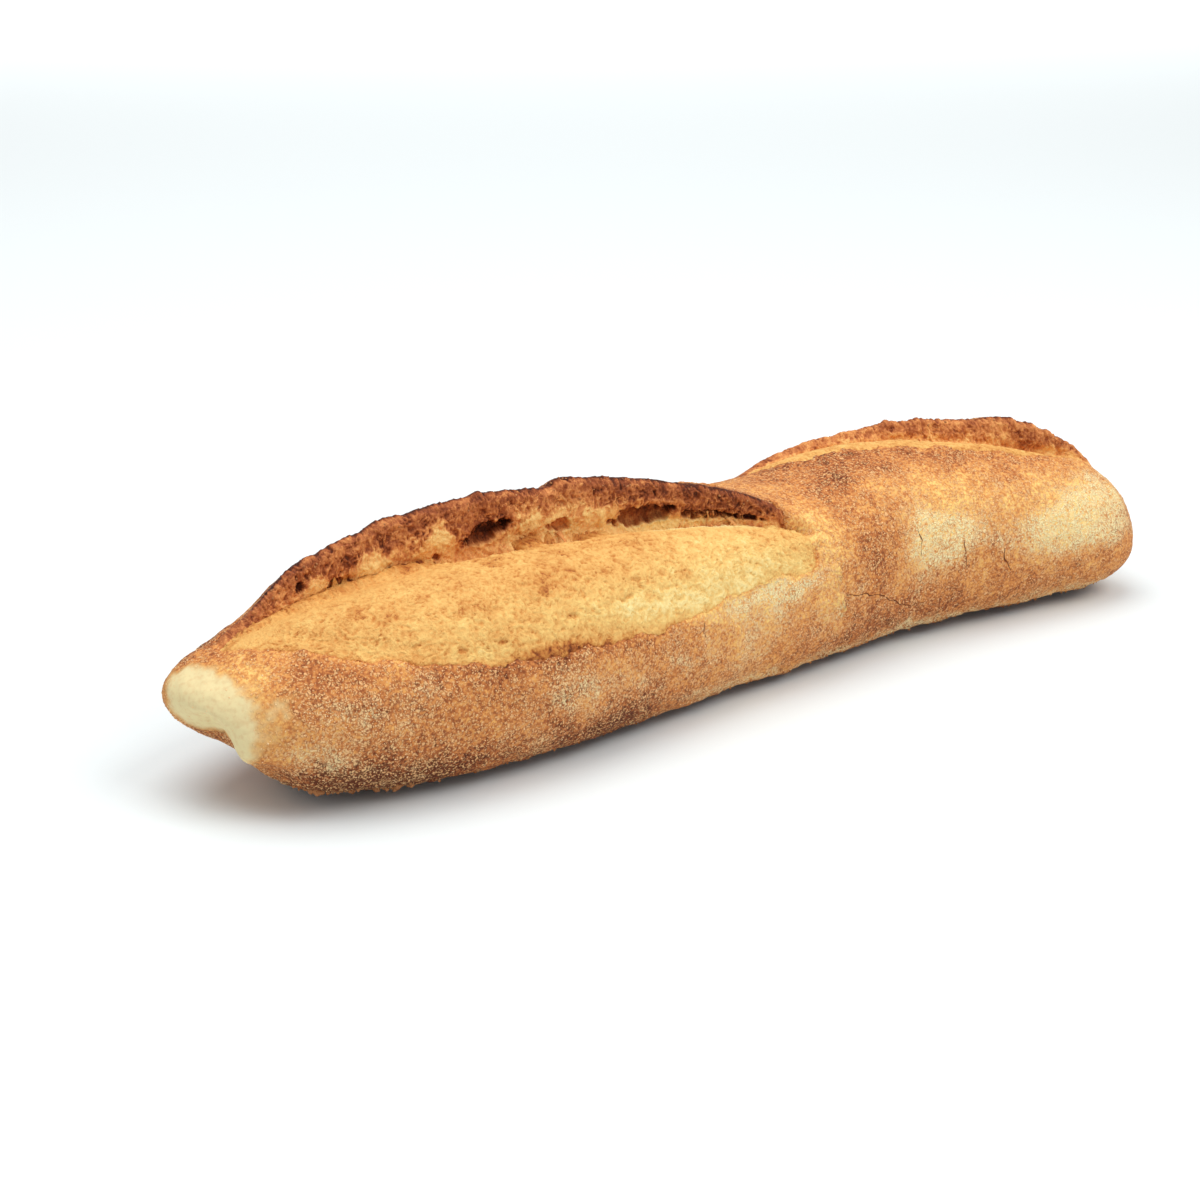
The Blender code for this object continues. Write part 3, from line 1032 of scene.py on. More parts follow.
@dataclass(frozen=True)
class CrustFinish:
    """Straw to red-brown crust under a dusting of flour in two sizes of grain."""

    straw: Colour = paint(248, 206, 124)
    tan: Colour = paint(227, 161, 90)
    amber: Colour = paint(198, 123, 67)
    chestnut: Colour = paint(152, 84, 46)
    umber: Colour = paint(96, 46, 24)
    peach: Colour = paint(240, 184, 126)
    flour: Colour = paint(255, 237, 182)
    pit: Colour = paint(72, 36, 20)
    dough: Colour = paint(234, 216, 164)
    rind: Colour = paint(226, 170, 96)
    roughness: float = 0.78
    relief: float = 0.36

    def material(self) -> Material:
        """Build the crust.

        A ramp of tones of the bake and of the painted shade that the mesh carries, broken up by noise
        and sandy grain, lies under soft flour dust and the flour's small and big grains. Rare dark pits
        and the pale unbaked dough come last.

        Returns:
            The material.
        """
        sheet = NodeSheet("crust")
        # the bake mark also carries painted shade near the floor, in the belt's groove and under the near
        # lip
        flour, bake, cream = sheet.mark("flour"), sheet.mark("bake"), sheet.mark("cream")
        fine, coarse = sheet.noise(0.9, 3.0), sheet.noise(2.6, 3.0)
        sand, sand_lot = sheet.sand(0.95)
        silt, silt_lot = sheet.sand(0.58)
        speckle, cloud = sheet.between(fine, 0.38, 0.62), sheet.between(coarse, 0.34, 0.66)
        tone = sheet.sums(
            (bake, 1.0), (speckle, 0.30), (cloud, 0.20), (sand_lot, -0.10), (sand, -0.06), (silt, -0.04))
        tone = sheet.math("ADD", tone, -0.075)
        colour = sheet.ramp(tone, (
            (0.0, self.straw), (0.30, self.tan), (0.54, self.amber), (0.80, self.chestnut),
            (1.0, self.umber)))
        powder = sheet.blend(sheet.between(flour, 0.45, 0.95), self.peach, self.flour)
        dust = sheet.noise(1.6, 4.0)
        dusty = sheet.times(sheet.between(dust, 0.36, 0.70), sheet.between(flour, 0.35, 1.00))
        colour = sheet.blend(sheet.times(dusty, 0.55), colour, powder)
        big = sheet.chosen(sand, sand_lot, sheet.sums((flour, 0.85), (1.0, 0.04)))
        small = sheet.chosen(silt, silt_lot, sheet.sums((flour, 1.00), (1.0, 0.08)))
        colour = sheet.blend(sheet.times(small, 0.85), colour, powder)
        colour = sheet.blend(sheet.times(big, 0.95), colour, powder)
        pits = sheet.grains(3.4, 0.10, 0.13)
        colour = sheet.blend(sheet.times(pits, 0.8), colour, self.pit)
        dots = sheet.grains(2.8, 0.05, 0.09)
        freckle = sheet.sums((dots, 0.7), (sheet.between(dust, 0.40, 0.75), 0.22))
        dough = sheet.blend(freckle, self.dough, self.amber)
        uneven = sheet.math("ADD", cream, sheet.times(sheet.math("SUBTRACT", coarse, 0.5), 0.5))
        browned_edge = sheet.blend(0.55, colour, self.rind)
        colour = sheet.blend(sheet.between(uneven, 0.02, 0.35), colour, browned_edge)
        colour = sheet.blend(sheet.between(uneven, 0.10, 0.95), colour, dough)
        height = sheet.sums(
            (sand, 0.08), (silt, 0.04), (fine, 0.46), (big, 0.50), (small, 0.32), (pits, -0.7))
        calm = sheet.math("SUBTRACT", 1.0, sheet.times(cream, 0.85))
        return sheet.finish(colour, self.roughness, sheet.times(height, calm), self.relief, 0.2)


@dataclass(frozen=True)
class CrumbFinish:
    """Golden crumb: its tone runs from cream over gold to burnt brown."""

    name: str
    stops: tuple[tuple[float, Colour], ...]
    roughness: float = 0.62
    relief: float = 0.34
    gloss: float = 0.2
    mottle: float = 0.30
    drawn_out: float = 1.4
    toasted: float = 0.05
    # how much darker, with painted shade, and how deep the small pores are
    foam: float = 0.0
    hairline: float = 0.0

    def material(self) -> Material:
        """Build the crumb.

        The mesh's own tone, plus fine and drawn-out noise, small pores and hairlines, goes through a
        ramp, and a few toasted dots lie on top.

        Returns:
            The material.
        """
        sheet = NodeSheet(self.name)
        fine, grit = sheet.noise(0.75, 3.0, 0.6), sheet.noise(0.35, 2.0)
        drawn = sheet.drawn(0.55, self.drawn_out)
        tone = sheet.sums((sheet.mark("tone"), 1.0), (fine, self.mottle), (grit, self.mottle * 0.4),
                          (drawn, self.mottle * 0.9))
        pore, pore_lot = sheet.sand(0.85)
        pore = sheet.times(pore, sheet.between(pore_lot, 0.9, 0.1))
        hair = sheet.hairlines(2.2, 0.028)
        # painted shade: the small pores are darker by the foam weight
        tone = sheet.sums((tone, 1.0), (pore, self.foam), (hair, self.hairline))
        tone = sheet.math("SUBTRACT", tone, self.mottle * 1.15 + self.foam * 0.25)
        colour = sheet.ramp(tone, self.stops)
        toasted = sheet.times(sheet.grains(1.5, self.toasted, 0.24), 0.55)
        colour = sheet.blend(toasted, colour, self.stops[-3][1])
        height = sheet.sums((fine, 0.8), (grit, 0.3), (drawn, 0.8), (pore, -3.0 * self.foam))
        return sheet.finish(colour, self.roughness, height, self.relief, self.gloss)


@dataclass(frozen=True)
class PlainFinish:
    """A small loose thing: one tone to another by the piece's own lot, matt, with fine grit."""

    name: str
    dark: Colour
    light: Colour
    roughness: float = 0.85

    def material(self) -> Material:
        """Build the finish.

        Returns:
            The material.
        """
        sheet = NodeSheet(self.name)
        grit = sheet.noise(0.4, 2.0)
        tone = sheet.sums((sheet.mark("tone"), 0.8), (grit, 0.4))
        return sheet.finish(sheet.blend(tone, self.dark, self.light), self.roughness, grit, 0.05, 0.2)


SEMOLINA_FINISH = PlainFinish("semolina", paint(220, 166, 108), paint(255, 220, 170))
# the cracks' dark slivers are painted shade
CRACK_SHADE_FINISH = PlainFinish("crack", paint(92, 44, 20), paint(140, 78, 40))
EDGE_FINISH = PlainFinish("edge_crumb", paint(132, 76, 46), paint(198, 138, 90))
BLOOM_FINISH = CrumbFinish("bloom_crumb", (
    (0.0, paint(255, 230, 160)), (0.25, paint(244, 202, 122)), (0.50, paint(230, 174, 98)),
    (0.72, paint(206, 136, 66)), (0.88, paint(164, 90, 40)), (1.0, paint(110, 54, 24))),
    mottle=0.22, foam=0.05, hairline=0.20)
EAR_FINISH = CrumbFinish("ear_crumb", (
    (0.0, paint(255, 214, 138)), (0.25, paint(240, 176, 104)), (0.50, paint(212, 134, 76)),
    (0.72, paint(164, 88, 46)), (0.88, paint(118, 54, 24)), (1.0, paint(72, 30, 12))),
    relief=0.40, drawn_out=2.4, toasted=0.02, foam=0.04, hairline=-0.24)


# ---------------------------------------------------------------- the crust


@dataclass
class CrustShell:
    """The whole loaf's crust: a closed skin that dips under the torn crumb."""

    rows: int = 400
    columns: int = 244
    lump_height: float = 0.35
    lump_size: float = 9.0
    pebble_height: float = 0.16
    pebble_size: float = 2.4
    belt_depth: float = 1.25
    belt_places: tuple[float, ...] = (0.0, 18.0, 26.0, 33.0, 38.0, 43.5, 50.0, 60.0)  # heights
    belt_along: tuple[float, ...] = (37.0, 36.5, 37.5, 38.0, 35.0, 31.0, 27.5, 24.0)

    def angles(self) -> Array:
        """Angles round the section: dense at the two edges of the base and sparse on the base.

        Returns:
            The angles, spread so that each has the same share of a density's running sum.
        """
        turn = np.linspace(-np.pi / 2, 3 * np.pi / 2, 4001)
        from_base = np.degrees(np.abs(turn + np.pi / 2 - 2 * np.pi * (turn > np.pi / 2)))
        density = 1.0 + 1.8 * bump(from_base - 40.0, 7.0) - 0.75 * (1 - smooth_step(from_base, 20.0, 34.0))
        run = np.concatenate(([0], np.cumsum(density[1:])))
        return np.interp(np.arange(self.columns) / self.columns * run[-1], run, turn)

    def grid(self) -> tuple[Array, Array, Array]:
        """Points and normals of the shell, and the smooth surface under its relief.

        Returns:
            The points with their relief, the smooth points, and the angles.
        """
        x = FORM.stations_over(self.rows)[:, None]
        angle = self.angles()[None] + 0 * x
        smooth = FORM.skin(x, angle, sunk=1.0)
        wrapped = np.concatenate((smooth[:, -1:], smooth, smooth[:, :1]), axis=1)
        normal = grid_normals(wrapped)[:, 1:-1]
        points = smooth + normal * (self.relief(smooth, x, angle) * self.calm(smooth, x))[..., None]
        points[..., 2] = np.maximum(points[..., 2], 0)
        return points, smooth, angle

    def on(self, x: Array, angle: Array) -> tuple[Array, Array]:
        """Points on the crust with its relief, and the directions out of it.

        The direction is the cross product of two small steps, along the loaf and round it.

        Args:
            x: places along the loaf.
            angle: radians round the section.

        Returns:
            The points and the directions.
        """
        smooth = FORM.skin(x, angle, 1.0)
        along = FORM.skin(x + 0.3, angle, 1.0) - FORM.skin(x - 0.3, angle, 1.0)
        around = FORM.skin(x, angle + 0.01, 1.0) - FORM.skin(x, angle - 0.01, 1.0)
        normal = unit(np.cross(along, around))
        raised = self.relief(smooth, x, angle) * self.calm(smooth, x)
        return smooth + normal * raised[..., None], normal

    def angle_at(self, x: Array, height: Array) -> Array:
        """Angle round the front of the section at a given height.

        The height rises with the angle there, so it is read backward from a dense run of angles.

        Args:
            x: places along the loaf.
            height: heights over the floor.

        Returns:
            The angles.
        """
        angles = np.linspace(-0.9, 1.3, 260)
        heights = FORM.skin(x[:, None], angles[None], 1.0)[..., 2]
        nearest = np.abs(heights - height[:, None]).argmin(axis=1)
        return angles[nearest]

    def calm(self, points: Array, x: Array) -> Array:
        """How much of the relief shows: none on the floor and at the tips."""
        return smooth_step(points[..., 2], 0.0, 2.0) * smooth_step(FORM.fullness(x), 0.0, 0.35)

    def relief(self, points: Array, x: Array, angle: Array) -> Array:
        """How far the crust stands out of its smooth surface.

        Broad lumps, pebbly fine lumps, low blisters, and the crease along the belt.

        Args:
            points: the smooth surface.
            x: places along the loaf.
            angle: radians round the section.

        Returns:
            The height at each point.
        """
        near, _, which = cells(points, 6.5, 41)
        blister = 0.45 * (which < 0.22) * (1 - smooth_step(near, 0.1, 0.42))
        rough = 1 + 1.3 * (1 - smooth_step(points[..., 2], 6.0, 12.0))
        raised = self.lump_height * soft_noise(points, self.lump_size, 3)
        raised = raised + rough * self.pebble_height * soft_noise(points, self.pebble_size, 7, 3) + blister
        return raised + self.belt_depth * self.belt(points, x, angle)

    def belt(self, points: Array, x: Array, angle: Array) -> Array:
        """The pulled crust between the slashes: a narrow crest before a groove, down the front.

        Args:
            points: the smooth surface.
            x: places along the loaf.
            angle: radians round the section.

        Returns:
            1 on the crest, -1 in the groove.
        """
        place = curve_through(self.belt_places, self.belt_along, points[..., 2])
        offset = x + 0 * angle - place - 2.8 * soft_noise(points, 5.0, 47, 4)
        fold = bump(offset + 0.6, 1.2) - 0.6 * bump(offset - 2.0, 1.4) + 0.35 * bump(offset + 5.5, 1.7)
        fold = fold * np.clip(0.70 + 1.5 * soft_noise(points, 3.0, 49, 3), 0.0, 1.4)
        on_front = smooth_step(np.cos(angle), -0.1, 0.4) * smooth_step(points[..., 2], 9.0, 24.0)
        return fold * on_front * (1 - 0.8 * smooth_step(points[..., 2], 44.0, 52.0))

    def marks(self, points: Array, x: Array, angle: Array) -> dict[str, Array]:
        """The crust's fields, with darker stretches, partly painted shade, and golden and bare stretches
        along each bloom's lip.

        The belt's crest is paler, and its groove is darkened with painted shade.

        Args:
            points: the smooth surface.
            x: places along the loaf.
            angle: radians round the section.

        Returns:
            flour, bake with painted shade, and cream at each point.
        """
        marks = CRUST_MAP.marks(points)
        # the darker band in front of the near lip is partly the torn crust's own brown-red and partly a
        # painted shadow line under the lip
        edge_darkening = 0.19 * bump(x + 74.0, 24.0) - 0.14 * smooth_step(x, -42.0, -22.0)
        for slash, strength in ((FORM.near, edge_darkening), (FORM.far, 0.05)):
            from_lip = FORM.over(slash, x, angle) + slash.lip(x)
            inside = slash.depth_in(x, 12.0)
            lip = bump(np.minimum(from_lip, 0), 3.2) * (from_lip > -12) * (from_lip < 3) * inside
            golden = 0.14 * bump(from_lip + 0.8, 1.6) * (1 - bump(x + 80.0, 38.0)) * inside
            marks["bake"] = marks["bake"] + strength * lip - golden
            bare = bump(np.minimum(from_lip, 0), 1.2) * (np.abs(from_lip) < 4) * slash.depth_in(x, 3.0)
            marks["flour"] = marks["flour"] * (1 - 0.6 * bare)
        fold = self.belt(points, x, angle)
        # painted shade in the belt's groove; the crest is paler
        bake = marks["bake"] - 0.34 * np.maximum(fold, 0) - 0.16 * np.minimum(fold, 0)
        marks["bake"] = np.clip(bake, 0, 1)
        return marks

    def build(self, material: Material) -> Piece:
        """Build the shell, which stands for the frame's solid.

        Args:
            material: the crust.

        Returns:
            The piece.
        """
        points, smooth, angle = self.grid()
        x = smooth[..., 0]
        piece = add_piece(closed_skin("crust_shell", points, self.marks(smooth, x, angle)), [material])
        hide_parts(NODE)
        return piece


# ---------------------------------------------------------------- the torn crumb


class Opening(Enum):
    """The loaf's two slashes."""

    NEAR = "near"
    FAR = "far"

    @property
    def slash(self) -> Slash:
        """The slash's sizes."""
        return FORM.near if self is Opening.NEAR else FORM.far


@dataclass(frozen=True)
class Dab:
    """A soft patch in a slash's own plane: along X, over from the crease, its reaches, its amount."""

    x: float
    over: float
    reach_x: float
    reach_over: float
    amount: float
    slant: float = 0.0

    def oval(self, x: Array, over: Array) -> Array:
        """Square of the slanted distance from the centre, each way over its own reach."""
        shifted = over - self.over - self.slant * (x - self.x)
        return ((x - self.x) / self.reach_x) ** 2 + (shifted / self.reach_over) ** 2

    def at(self, x: Array, over: Array) -> Array:
        """The patch: its amount times a bell of the distance."""
        return self.amount * np.exp(-self.oval(x, over))

    def hole(self, x: Array, over: Array, ragged: Array) -> Array:
        """A steep-sided hole of that size: its amount inside the raggedly drawn oval, none outside."""
        return self.amount * (1 - smooth_step(self.oval(x, over) + ragged, 0.55, 1.15))


@dataclass(frozen=True)
class Fields:
    """A smooth torn surface: its points, their X, and their distance over from the crease."""

    smooth: Array
    x: Array
    over: Array


@dataclass
class TornCrumb:
    """What blooms and ears share: a grid along a slash, closed by an underside inside the loaf."""

    opening: Opening
    columns: int
    rows: int
    under_rows: int = 8
    under_sunk: float = 1.25
    under_depth: float = 3.2
    under_tone: float = 0.6

    def closed(self, kind: str, top: Array, field: Fields, marks: dict[str, Array]) -> Mesh:
        """Close the torn top with a sparser underside that runs back below it, and with two poles.

        Args:
            kind: the last word of the piece's name.
            top: the torn surface's points.
            field: its fields.
            marks: its named values.

        Returns:
            The closed mesh.
        """
        below = field.over[:, ::-max(1, self.rows // self.under_rows)]
        below_x = np.broadcast_to(field.x[:, :1], below.shape)
        under = FORM.beside(self.opening.slash, below_x, below, self.under_sunk, -self.under_depth)
        below_marks = {"tone": self.under_tone, "along": below_x, "across": below}
        whole = {}
        for key, value in marks.items():
            below_value = np.broadcast_to(below_marks.get(key, 0.0), below.shape)
            whole[key] = with_poles(np.concatenate((value, below_value), axis=1)[..., None])[..., 0]
        points = with_poles(np.concatenate((top, under), axis=1))
        return closed_skin(f"{self.opening.value}_{kind}", points, whole)


@dataclass(frozen=True)
class BloomFields(Fields):
    """A bloom's fields, from which both its relief and its tone are worked out."""

    tongue: Array  # how far the tongues reach over the ear's foot
    across: Array  # distance over the bloom and up the tongues
    sheet: Array  # the bloom laid flat
    crumb: Array
    drawn: Array  # noise drawn out across the bloom
    threads: Array  # crests of fine threads, about 0 in the mean
    folds: Array
    broad: Array
    pore: Array
    named_pore: Array
    layered: Array  # where the folds stand out as layers
    lively: Array  # less than 1 where the swell is smooth


@dataclass
class Bloom(TornCrumb):
    """The swollen crumb in front of a slash: a closed lens whose edges dive under the crust."""

    under_rows: int = 7
    under_sunk: float = 1.3
    under_depth: float = 3.6
    under_tone: float = 0.4
    lip_drop: float = 0.30
    edge: float = 2.2
    past_reach: float = 0.8  # the crumb is buried over this distance past its reach
    crumb_height: float = 0.27
    pore_depth: float = 0.5
    tone: float = 0.46
    lip_tone: float = 0.16
    tongue: float = 0.6
    filled_to: float = -1000.0  # up to here the crumb fills the crease
    fillet: float = 0.10  # how far it is built up there, as a share of the rim
    dabs: tuple[Dab, ...] = ()  # darker and paler patches
    flaps: tuple[Dab, ...] = ()  # large tongues
    pores: tuple[Dab, ...] = ()
    lamellae: tuple[Dab, ...] = ()  # layered folds

    def surface(self) -> tuple[Array, Array, Array, Array]:
        """The smooth top: X along the slash, rows from under the lip to past the crease.

        Past the crease the crumb climbs the ear's foot in uneven tongues before it dives.

        Returns:
            The points, X, the distance over the crust from the crease, and how far the tongues reach.
        """
        slash = self.opening.slash
        x = np.linspace(slash.start + 0.5, slash.bloom_end - 0.5, self.columns)[:, None]
        width = slash.lip(x)
        share = np.linspace(0, 1, self.rows)[None]
        line = sheet_of(x)
        rooted = smooth_step(x, slash.start, slash.start + 12)
        fill = (1 - smooth_step(x, self.filled_to - 16, self.filled_to + 16)) * rooted
        flap = np.clip(sum((dab.at(x, dab.over) for dab in self.flaps), 0.0), 0, 1.3)
        tongue = self.tongue * np.clip(0.1 + soft_noise(line, 5.5, 55, 3), 0, 1) + flap + 0.7 * fill
        tongue = np.clip(tongue, 0, 1)
        jag = (0.28 + 0.3 * flap + 0.5 * fill) * soft_noise(line, 1.5, 53, 3)
        filled_reach = 0.8 + 0.5 * soft_noise(line, 6.0, 59, 2)
        reach = jag - 0.3 - 3.5 * slash.corner(x) + 0.9 * tongue + 1.6 * flap + filled_reach * fill
        front = width + self.edge
        over = -front + (front + reach + self.past_reach) * (1 - (1 - share) ** 1.4)
        buried = smooth_step(over, reach, reach + self.past_reach)
        climb = smooth_step(over, -2.0, 0.2) * tongue
        groove = -np.minimum(FORM.ear_share(over), 0) * slash.rim(x)
        dive = self.lip_drop + 1.5 * (1 - smooth_step(over, -front, -width + 0.8))
        dive = dive + 1.2 * buried + 1.5 * (1 - slash.depth_in(x, 3.5)) - 0.7 * climb
        dive = dive - 0.80 * groove * np.maximum(fill, np.clip(flap, 0, 1))
        dive = dive - self.fillet * slash.rim(x) * fill * bump(over - 0.2, 1.9)
        points = FORM.beside(slash, x, over, 1.1 * buried, -dive)
        return points, x + 0 * over, over, tongue + 0 * over

    def fields(self) -> BloomFields:
        """Noise, threads, folds and pores over the smooth top.

        Threads are where a noise crosses its middle, and pores are the cores of some foam cells.
        Beside the crease, towards the slash's start, all of it is smoother.

        Returns:
            The fields.
        """
        smooth, x, over, tongue = self.surface()
        climbed = (FORM.ear_share(over) + FORM.crease_dip) * self.opening.slash.rim(x) * (over > 0)
        across = over + 0.9 * climbed
        sheet = sheet_of(x, across * 0.85)
        pulled = warped(sheet, 1.1, 2.6, 221)
        drawn = soft_noise(pulled, 1.5, 67, 3)
        near, _, which = cells(warped(sheet, 0.8, 2.5, 227) * np.array((1.0, 1.6, 1.0)), 1.7, 79)
        return BloomFields(
            smooth, x, over, tongue, across, sheet, drawn=drawn,
            crumb=soft_noise(warped(smooth, 0.8, 3.0, 211), 1.0, 61, 3),
            threads=1 - 1.5 * np.abs(soft_noise(pulled, 1.25, 69, 2)) - 0.45,
            folds=soft_noise(sheet_of(x * 0.22, over * 1.1 + 0.04 * x), 1.5, 71, 3),
            broad=soft_noise(smooth, 12.0, 73, 3),
            pore=(which < 0.38) * (1 - smooth_step(near, 0.05, 0.15 + 0.75 * which)),
            named_pore=sum((dab.hole(x, over, 0.35 * drawn) for dab in self.pores), 0.0),
            layered=total(self.lamellae, x, over),
            lively=1 - 0.65 * bump(over + 4.5, 4.0) * (1 - smooth_step(x, -110.0, -70.0)))

    def relief(self, field: BloomFields) -> Array:
        """How far the crumb stands out: crumb, threads and folds, less pores, with a frayed edge.

        Args:
            field: the bloom's fields.

        Returns:
            The height at each point, calmed at the lip and past the crease.
        """
        over, lip = field.over, self.opening.slash.lip(field.x)
        raised = 0.40 * field.crumb + 0.60 * field.drawn + 0.85 * field.threads
        raised = raised + field.folds * (0.10 + 1.5 * field.layered)
        raised = self.crumb_height * field.lively * raised + 0.35 * field.broad
        raised = raised - self.pore_depth * field.pore * field.lively - field.named_pore
        fringe = bump(over + 0.6, 0.9) * soft_noise(field.sheet * np.array((1.0, 0.5, 1.0)), 1.2, 87, 2)
        calm = smooth_step(over, -lip - 1.5, -lip + 2.4) * (1 - 0.6 * smooth_step(over, -0.5, 1.0))
        return (raised + 0.5 * fringe) * calm

    def tones(self, field: BloomFields) -> Array:
        """Where the crumb runs from cream, 0, to burnt brown, 1.

        The mean tone plus weighted fields and named patches, darker along the lip and on the tongues.
        Painted highlight pales the raised streaks, lumps, threads and folds, and painted shade darkens
        the pores.

        Args:
            field: the bloom's fields.

        Returns:
            The tone at each point.
        """
        slash, smooth, x, over = self.opening.slash, field.smooth, field.x, field.over
        # painted highlight: the raised streaks, lumps and threads are paler
        tone = 0.06 * field.broad + 0.06 * soft_noise(smooth, 4.0, 83, 3) - 0.08 * field.drawn
        tone = tone - 0.08 * field.crumb - 0.14 * field.threads
        # painted shade: the pores are darker; the raised folds are paler, a painted highlight
        tone = self.tone + field.lively * tone + 0.16 * field.pore * field.lively
        tone = tone + 0.30 * field.named_pore - 0.16 * field.folds * field.layered
        tone = tone + 0.16 * smooth_step(soft_noise(smooth, 4.5, 89, 4), 0.35, 0.9)
        tone = tone + total(self.dabs, x, over)
        lip_tone = self.lip_tone * (0.6 + bump(x + 74.0, 22.0))
        tone = tone + lip_tone * bump(over + slash.lip(x), 2.0)
        tone = tone - 0.12 * bump(over + 0.6, 1.1) * (1 - field.tongue)
        tone = tone + 0.20 * field.tongue * smooth_step(over, -3.5, 0.5)
        return tone + 0.14 * bump(x - slash.bloom_end, 3.5)

    def build(self, material: Material) -> Piece:
        """Build the bloom: its smooth top, moved along its normals by its relief, and closed below.

        Args:
            material: the crumb.

        Returns:
            The piece.
        """
        field = self.fields()
        top = field.smooth + normal_of(field.smooth, self.relief(field))
        marks = {"tone": self.tones(field), "along": field.x, "across": field.across}
        return add_piece(self.closed("bloom", top, field, marks), [material])


@dataclass(frozen=True)
class EarFields(Fields):
    """An ear's fields, from which both its relief and its tone are worked out."""

    climb: Array  # distance up the face
    upper: Array  # 0 on the golden foot, 1 on the browned top
    fibre: Array  # crests of threads pulled up the face
    bowl: Array  # open foam, coarse
    bowl_lot: Array
    dimple: Array  # open foam, fine
    grit: Array
    crag: Array
    hollow: Array  # long dents between the threads
    hole: Array  # the named holes, less the struts left in them
    membrane: Array  # the named smooth skins
    size: Array  # 0 where the rim lies flat, 1 where it stands up


@dataclass
class Ear(TornCrumb):
    """The torn back lip of a slash: a ragged crumb face under a thin crust, open to the front."""

    start_over: float = -1.0
    end_over: float = 9.6
    rim_over: float = 5.4  # where the rim is
    back_over: float = 6.6  # past this the ear is finished as crust
    reference_height: float = 12.0
    sponge: float = 0.95
    crag: float = 0.34
    fibre_mean: float = 0.35
    rim_tear: float = 0.26
    char: float = 0.5
    lower_gold: float = 0.36
    struts_from: float = -1000.0  # from here on threads are left standing in the holes
    holes: tuple[Dab, ...] = ()
    membranes: tuple[Dab, ...] = ()
    chars: tuple[Dab, ...] = ()  # where the browned top reaches further down
    scorch: tuple[Dab, ...] = ()  # darker and paler patches

    @staticmethod
    def bowls(places: Array, size: float, seed: int) -> tuple[Array, Array]:
        """Open foam: a bowl in most cells, with thin walls between them.

        Args:
            places: where to read it.
            size: the cells' size.
            seed: picks one foam.

        Returns:
            0 on the walls to 1 in the deepest bowls, and the cells' lots.
        """
        first, second, which = cells(places, size, seed)
        deep = np.clip(1.35 - 1.5 * which, 0, 1)
        return smooth_step(second - first, 0.03, 0.55) * deep, which

    def spread(self) -> Array:
        """Places over the crust for the rows, even over the profile of an ear of mean height.

        Returns:
            The places from the crease's near side to the ear's back.
        """
        dense = np.linspace(self.start_over, self.end_over, 600)
        out = FORM.ear_share(dense) * self.reference_height
        back = dense + curve_through(FORM.ear_distance, FORM.ear_backward, dense) * self.reference_height
        run = np.concatenate(([0], np.cumsum(np.hypot(np.diff(out), np.diff(back)))))
        return np.interp(np.linspace(0, run[-1], self.rows), run, dense)

    def surface(self) -> tuple[Array, Array, Array]:
        """The smooth ear: X along the slash, rows from the crease's near side to the ear's back.

        It dives under the bloom along a jagged line, and into the crust behind and at its ends.

        Returns:
            The points, X, and the distance over the crust from the crease.
        """
        slash = self.opening.slash
        last = min(slash.ear_end + 1.5, slash.end - 0.5)
        over = self.spread()[None]
        x = np.linspace(slash.start + 0.5, last, self.columns)[:, None] + 0 * over
        over = over + 0 * x
        jag = 0.7 * soft_noise(sheet_of(x), 1.6, 57, 3)
        dive = 2.4 * (1 - smooth_step(over + jag, -1.0, 0.2)) + 1.8 * smooth_step(over, 8.4, self.end_over)
        dive = dive + 2.0 * (1 - slash.torn_ear(x))
        return FORM.beside(slash, x, over, 0.0, -dive), x, over

    def fields(self) -> EarFields:
        """Noise, foam, threads, holes and skins over the smooth ear.

        Threads are where a noise drawn out up the face crosses its middle. The face is browned
        above an uneven line and at the named places.

        Returns:
            The fields.
        """
        smooth, x, over = self.surface()
        rim = self.opening.slash.rim(x)
        risen = (FORM.ear_share(over) + FORM.crease_dip) / (1 + FORM.crease_dip)
        share = np.where(over < self.rim_over, risen, 1.0)
        climb = share * rim * 1.25
        sheet = sheet_of(x, climb)
        pulled = warped(sheet, 1.3, 3.0, 231) * np.array((1.0, 0.42, 1.0))
        fibre = np.clip(1 - 1.8 * np.abs(soft_noise(pulled, 1.5, 131, 3)), -0.1, 1)
        edge = 0.22 * soft_noise(sheet_of(x), 9.0, 103, 3) + 0.16 * soft_noise(sheet, 3.0, 105, 3)
        edge = edge - 0.12 * (fibre - self.fibre_mean)
        upper = smooth_step(share + edge, 0.36, 0.62) + total(self.chars, x, over)
        bowl, bowl_lot = self.bowls(warped(sheet, 1.5, 2.6, 201) * np.array((1.0, 0.66, 1.0)), 2.3, 101)
        dimple, _ = self.bowls(warped(sheet, 0.9, 1.6, 205), 1.3, 107)
        grit = soft_noise(smooth, 1.1, 113, 3)
        strut = smooth_step(fibre + 0.25 * grit, 0.52, 0.86)
        strut = strut * smooth_step(x, self.struts_from, self.struts_from + 8)
        ragged = 0.55 * soft_noise(sheet, 1.8, 137, 3)
        hole = np.clip(sum((dab.hole(x, over, ragged) for dab in self.holes), 0.0), 0, 4.5)
        return EarFields(
            smooth, x, over, climb, np.clip(upper, 0, 1), fibre, bowl, bowl_lot, dimple, grit,
            crag=soft_noise(smooth, 5.0, 127, 3), hollow=soft_noise(pulled, 3.4, 133, 2),
            hole=hole * (1 - strut), membrane=total(self.membranes, x, over),
            size=np.clip(rim / FORM.full_ear, 0, 1))

    def relief(self, field: EarFields) -> Array:
        """How far the ear stands out: crags, threads and skins, less foam and holes.

        Args:
            field: the ear's fields.

        Returns:
            The height at each point of the face, fading to 0 on the back and at the ear's ends.
        """
        foam = self.sponge * (0.10 + 0.90 * field.upper) * (0.62 * field.bowl + 0.20 * field.dimple)
        raised = self.crag * field.crag - foam + 0.16 * field.grit
        raised = raised + (0.28 + 0.14 * field.upper) * field.fibre
        raised = raised + (1 - 0.75 * field.upper) * 0.5 * field.hollow + 2.4 * field.membrane
        on_face = (1 - smooth_step(field.over, self.rim_over, 6.8)) * smooth_step(field.over, -0.2, 0.7)
        return (raised * on_face - field.hole) * field.size

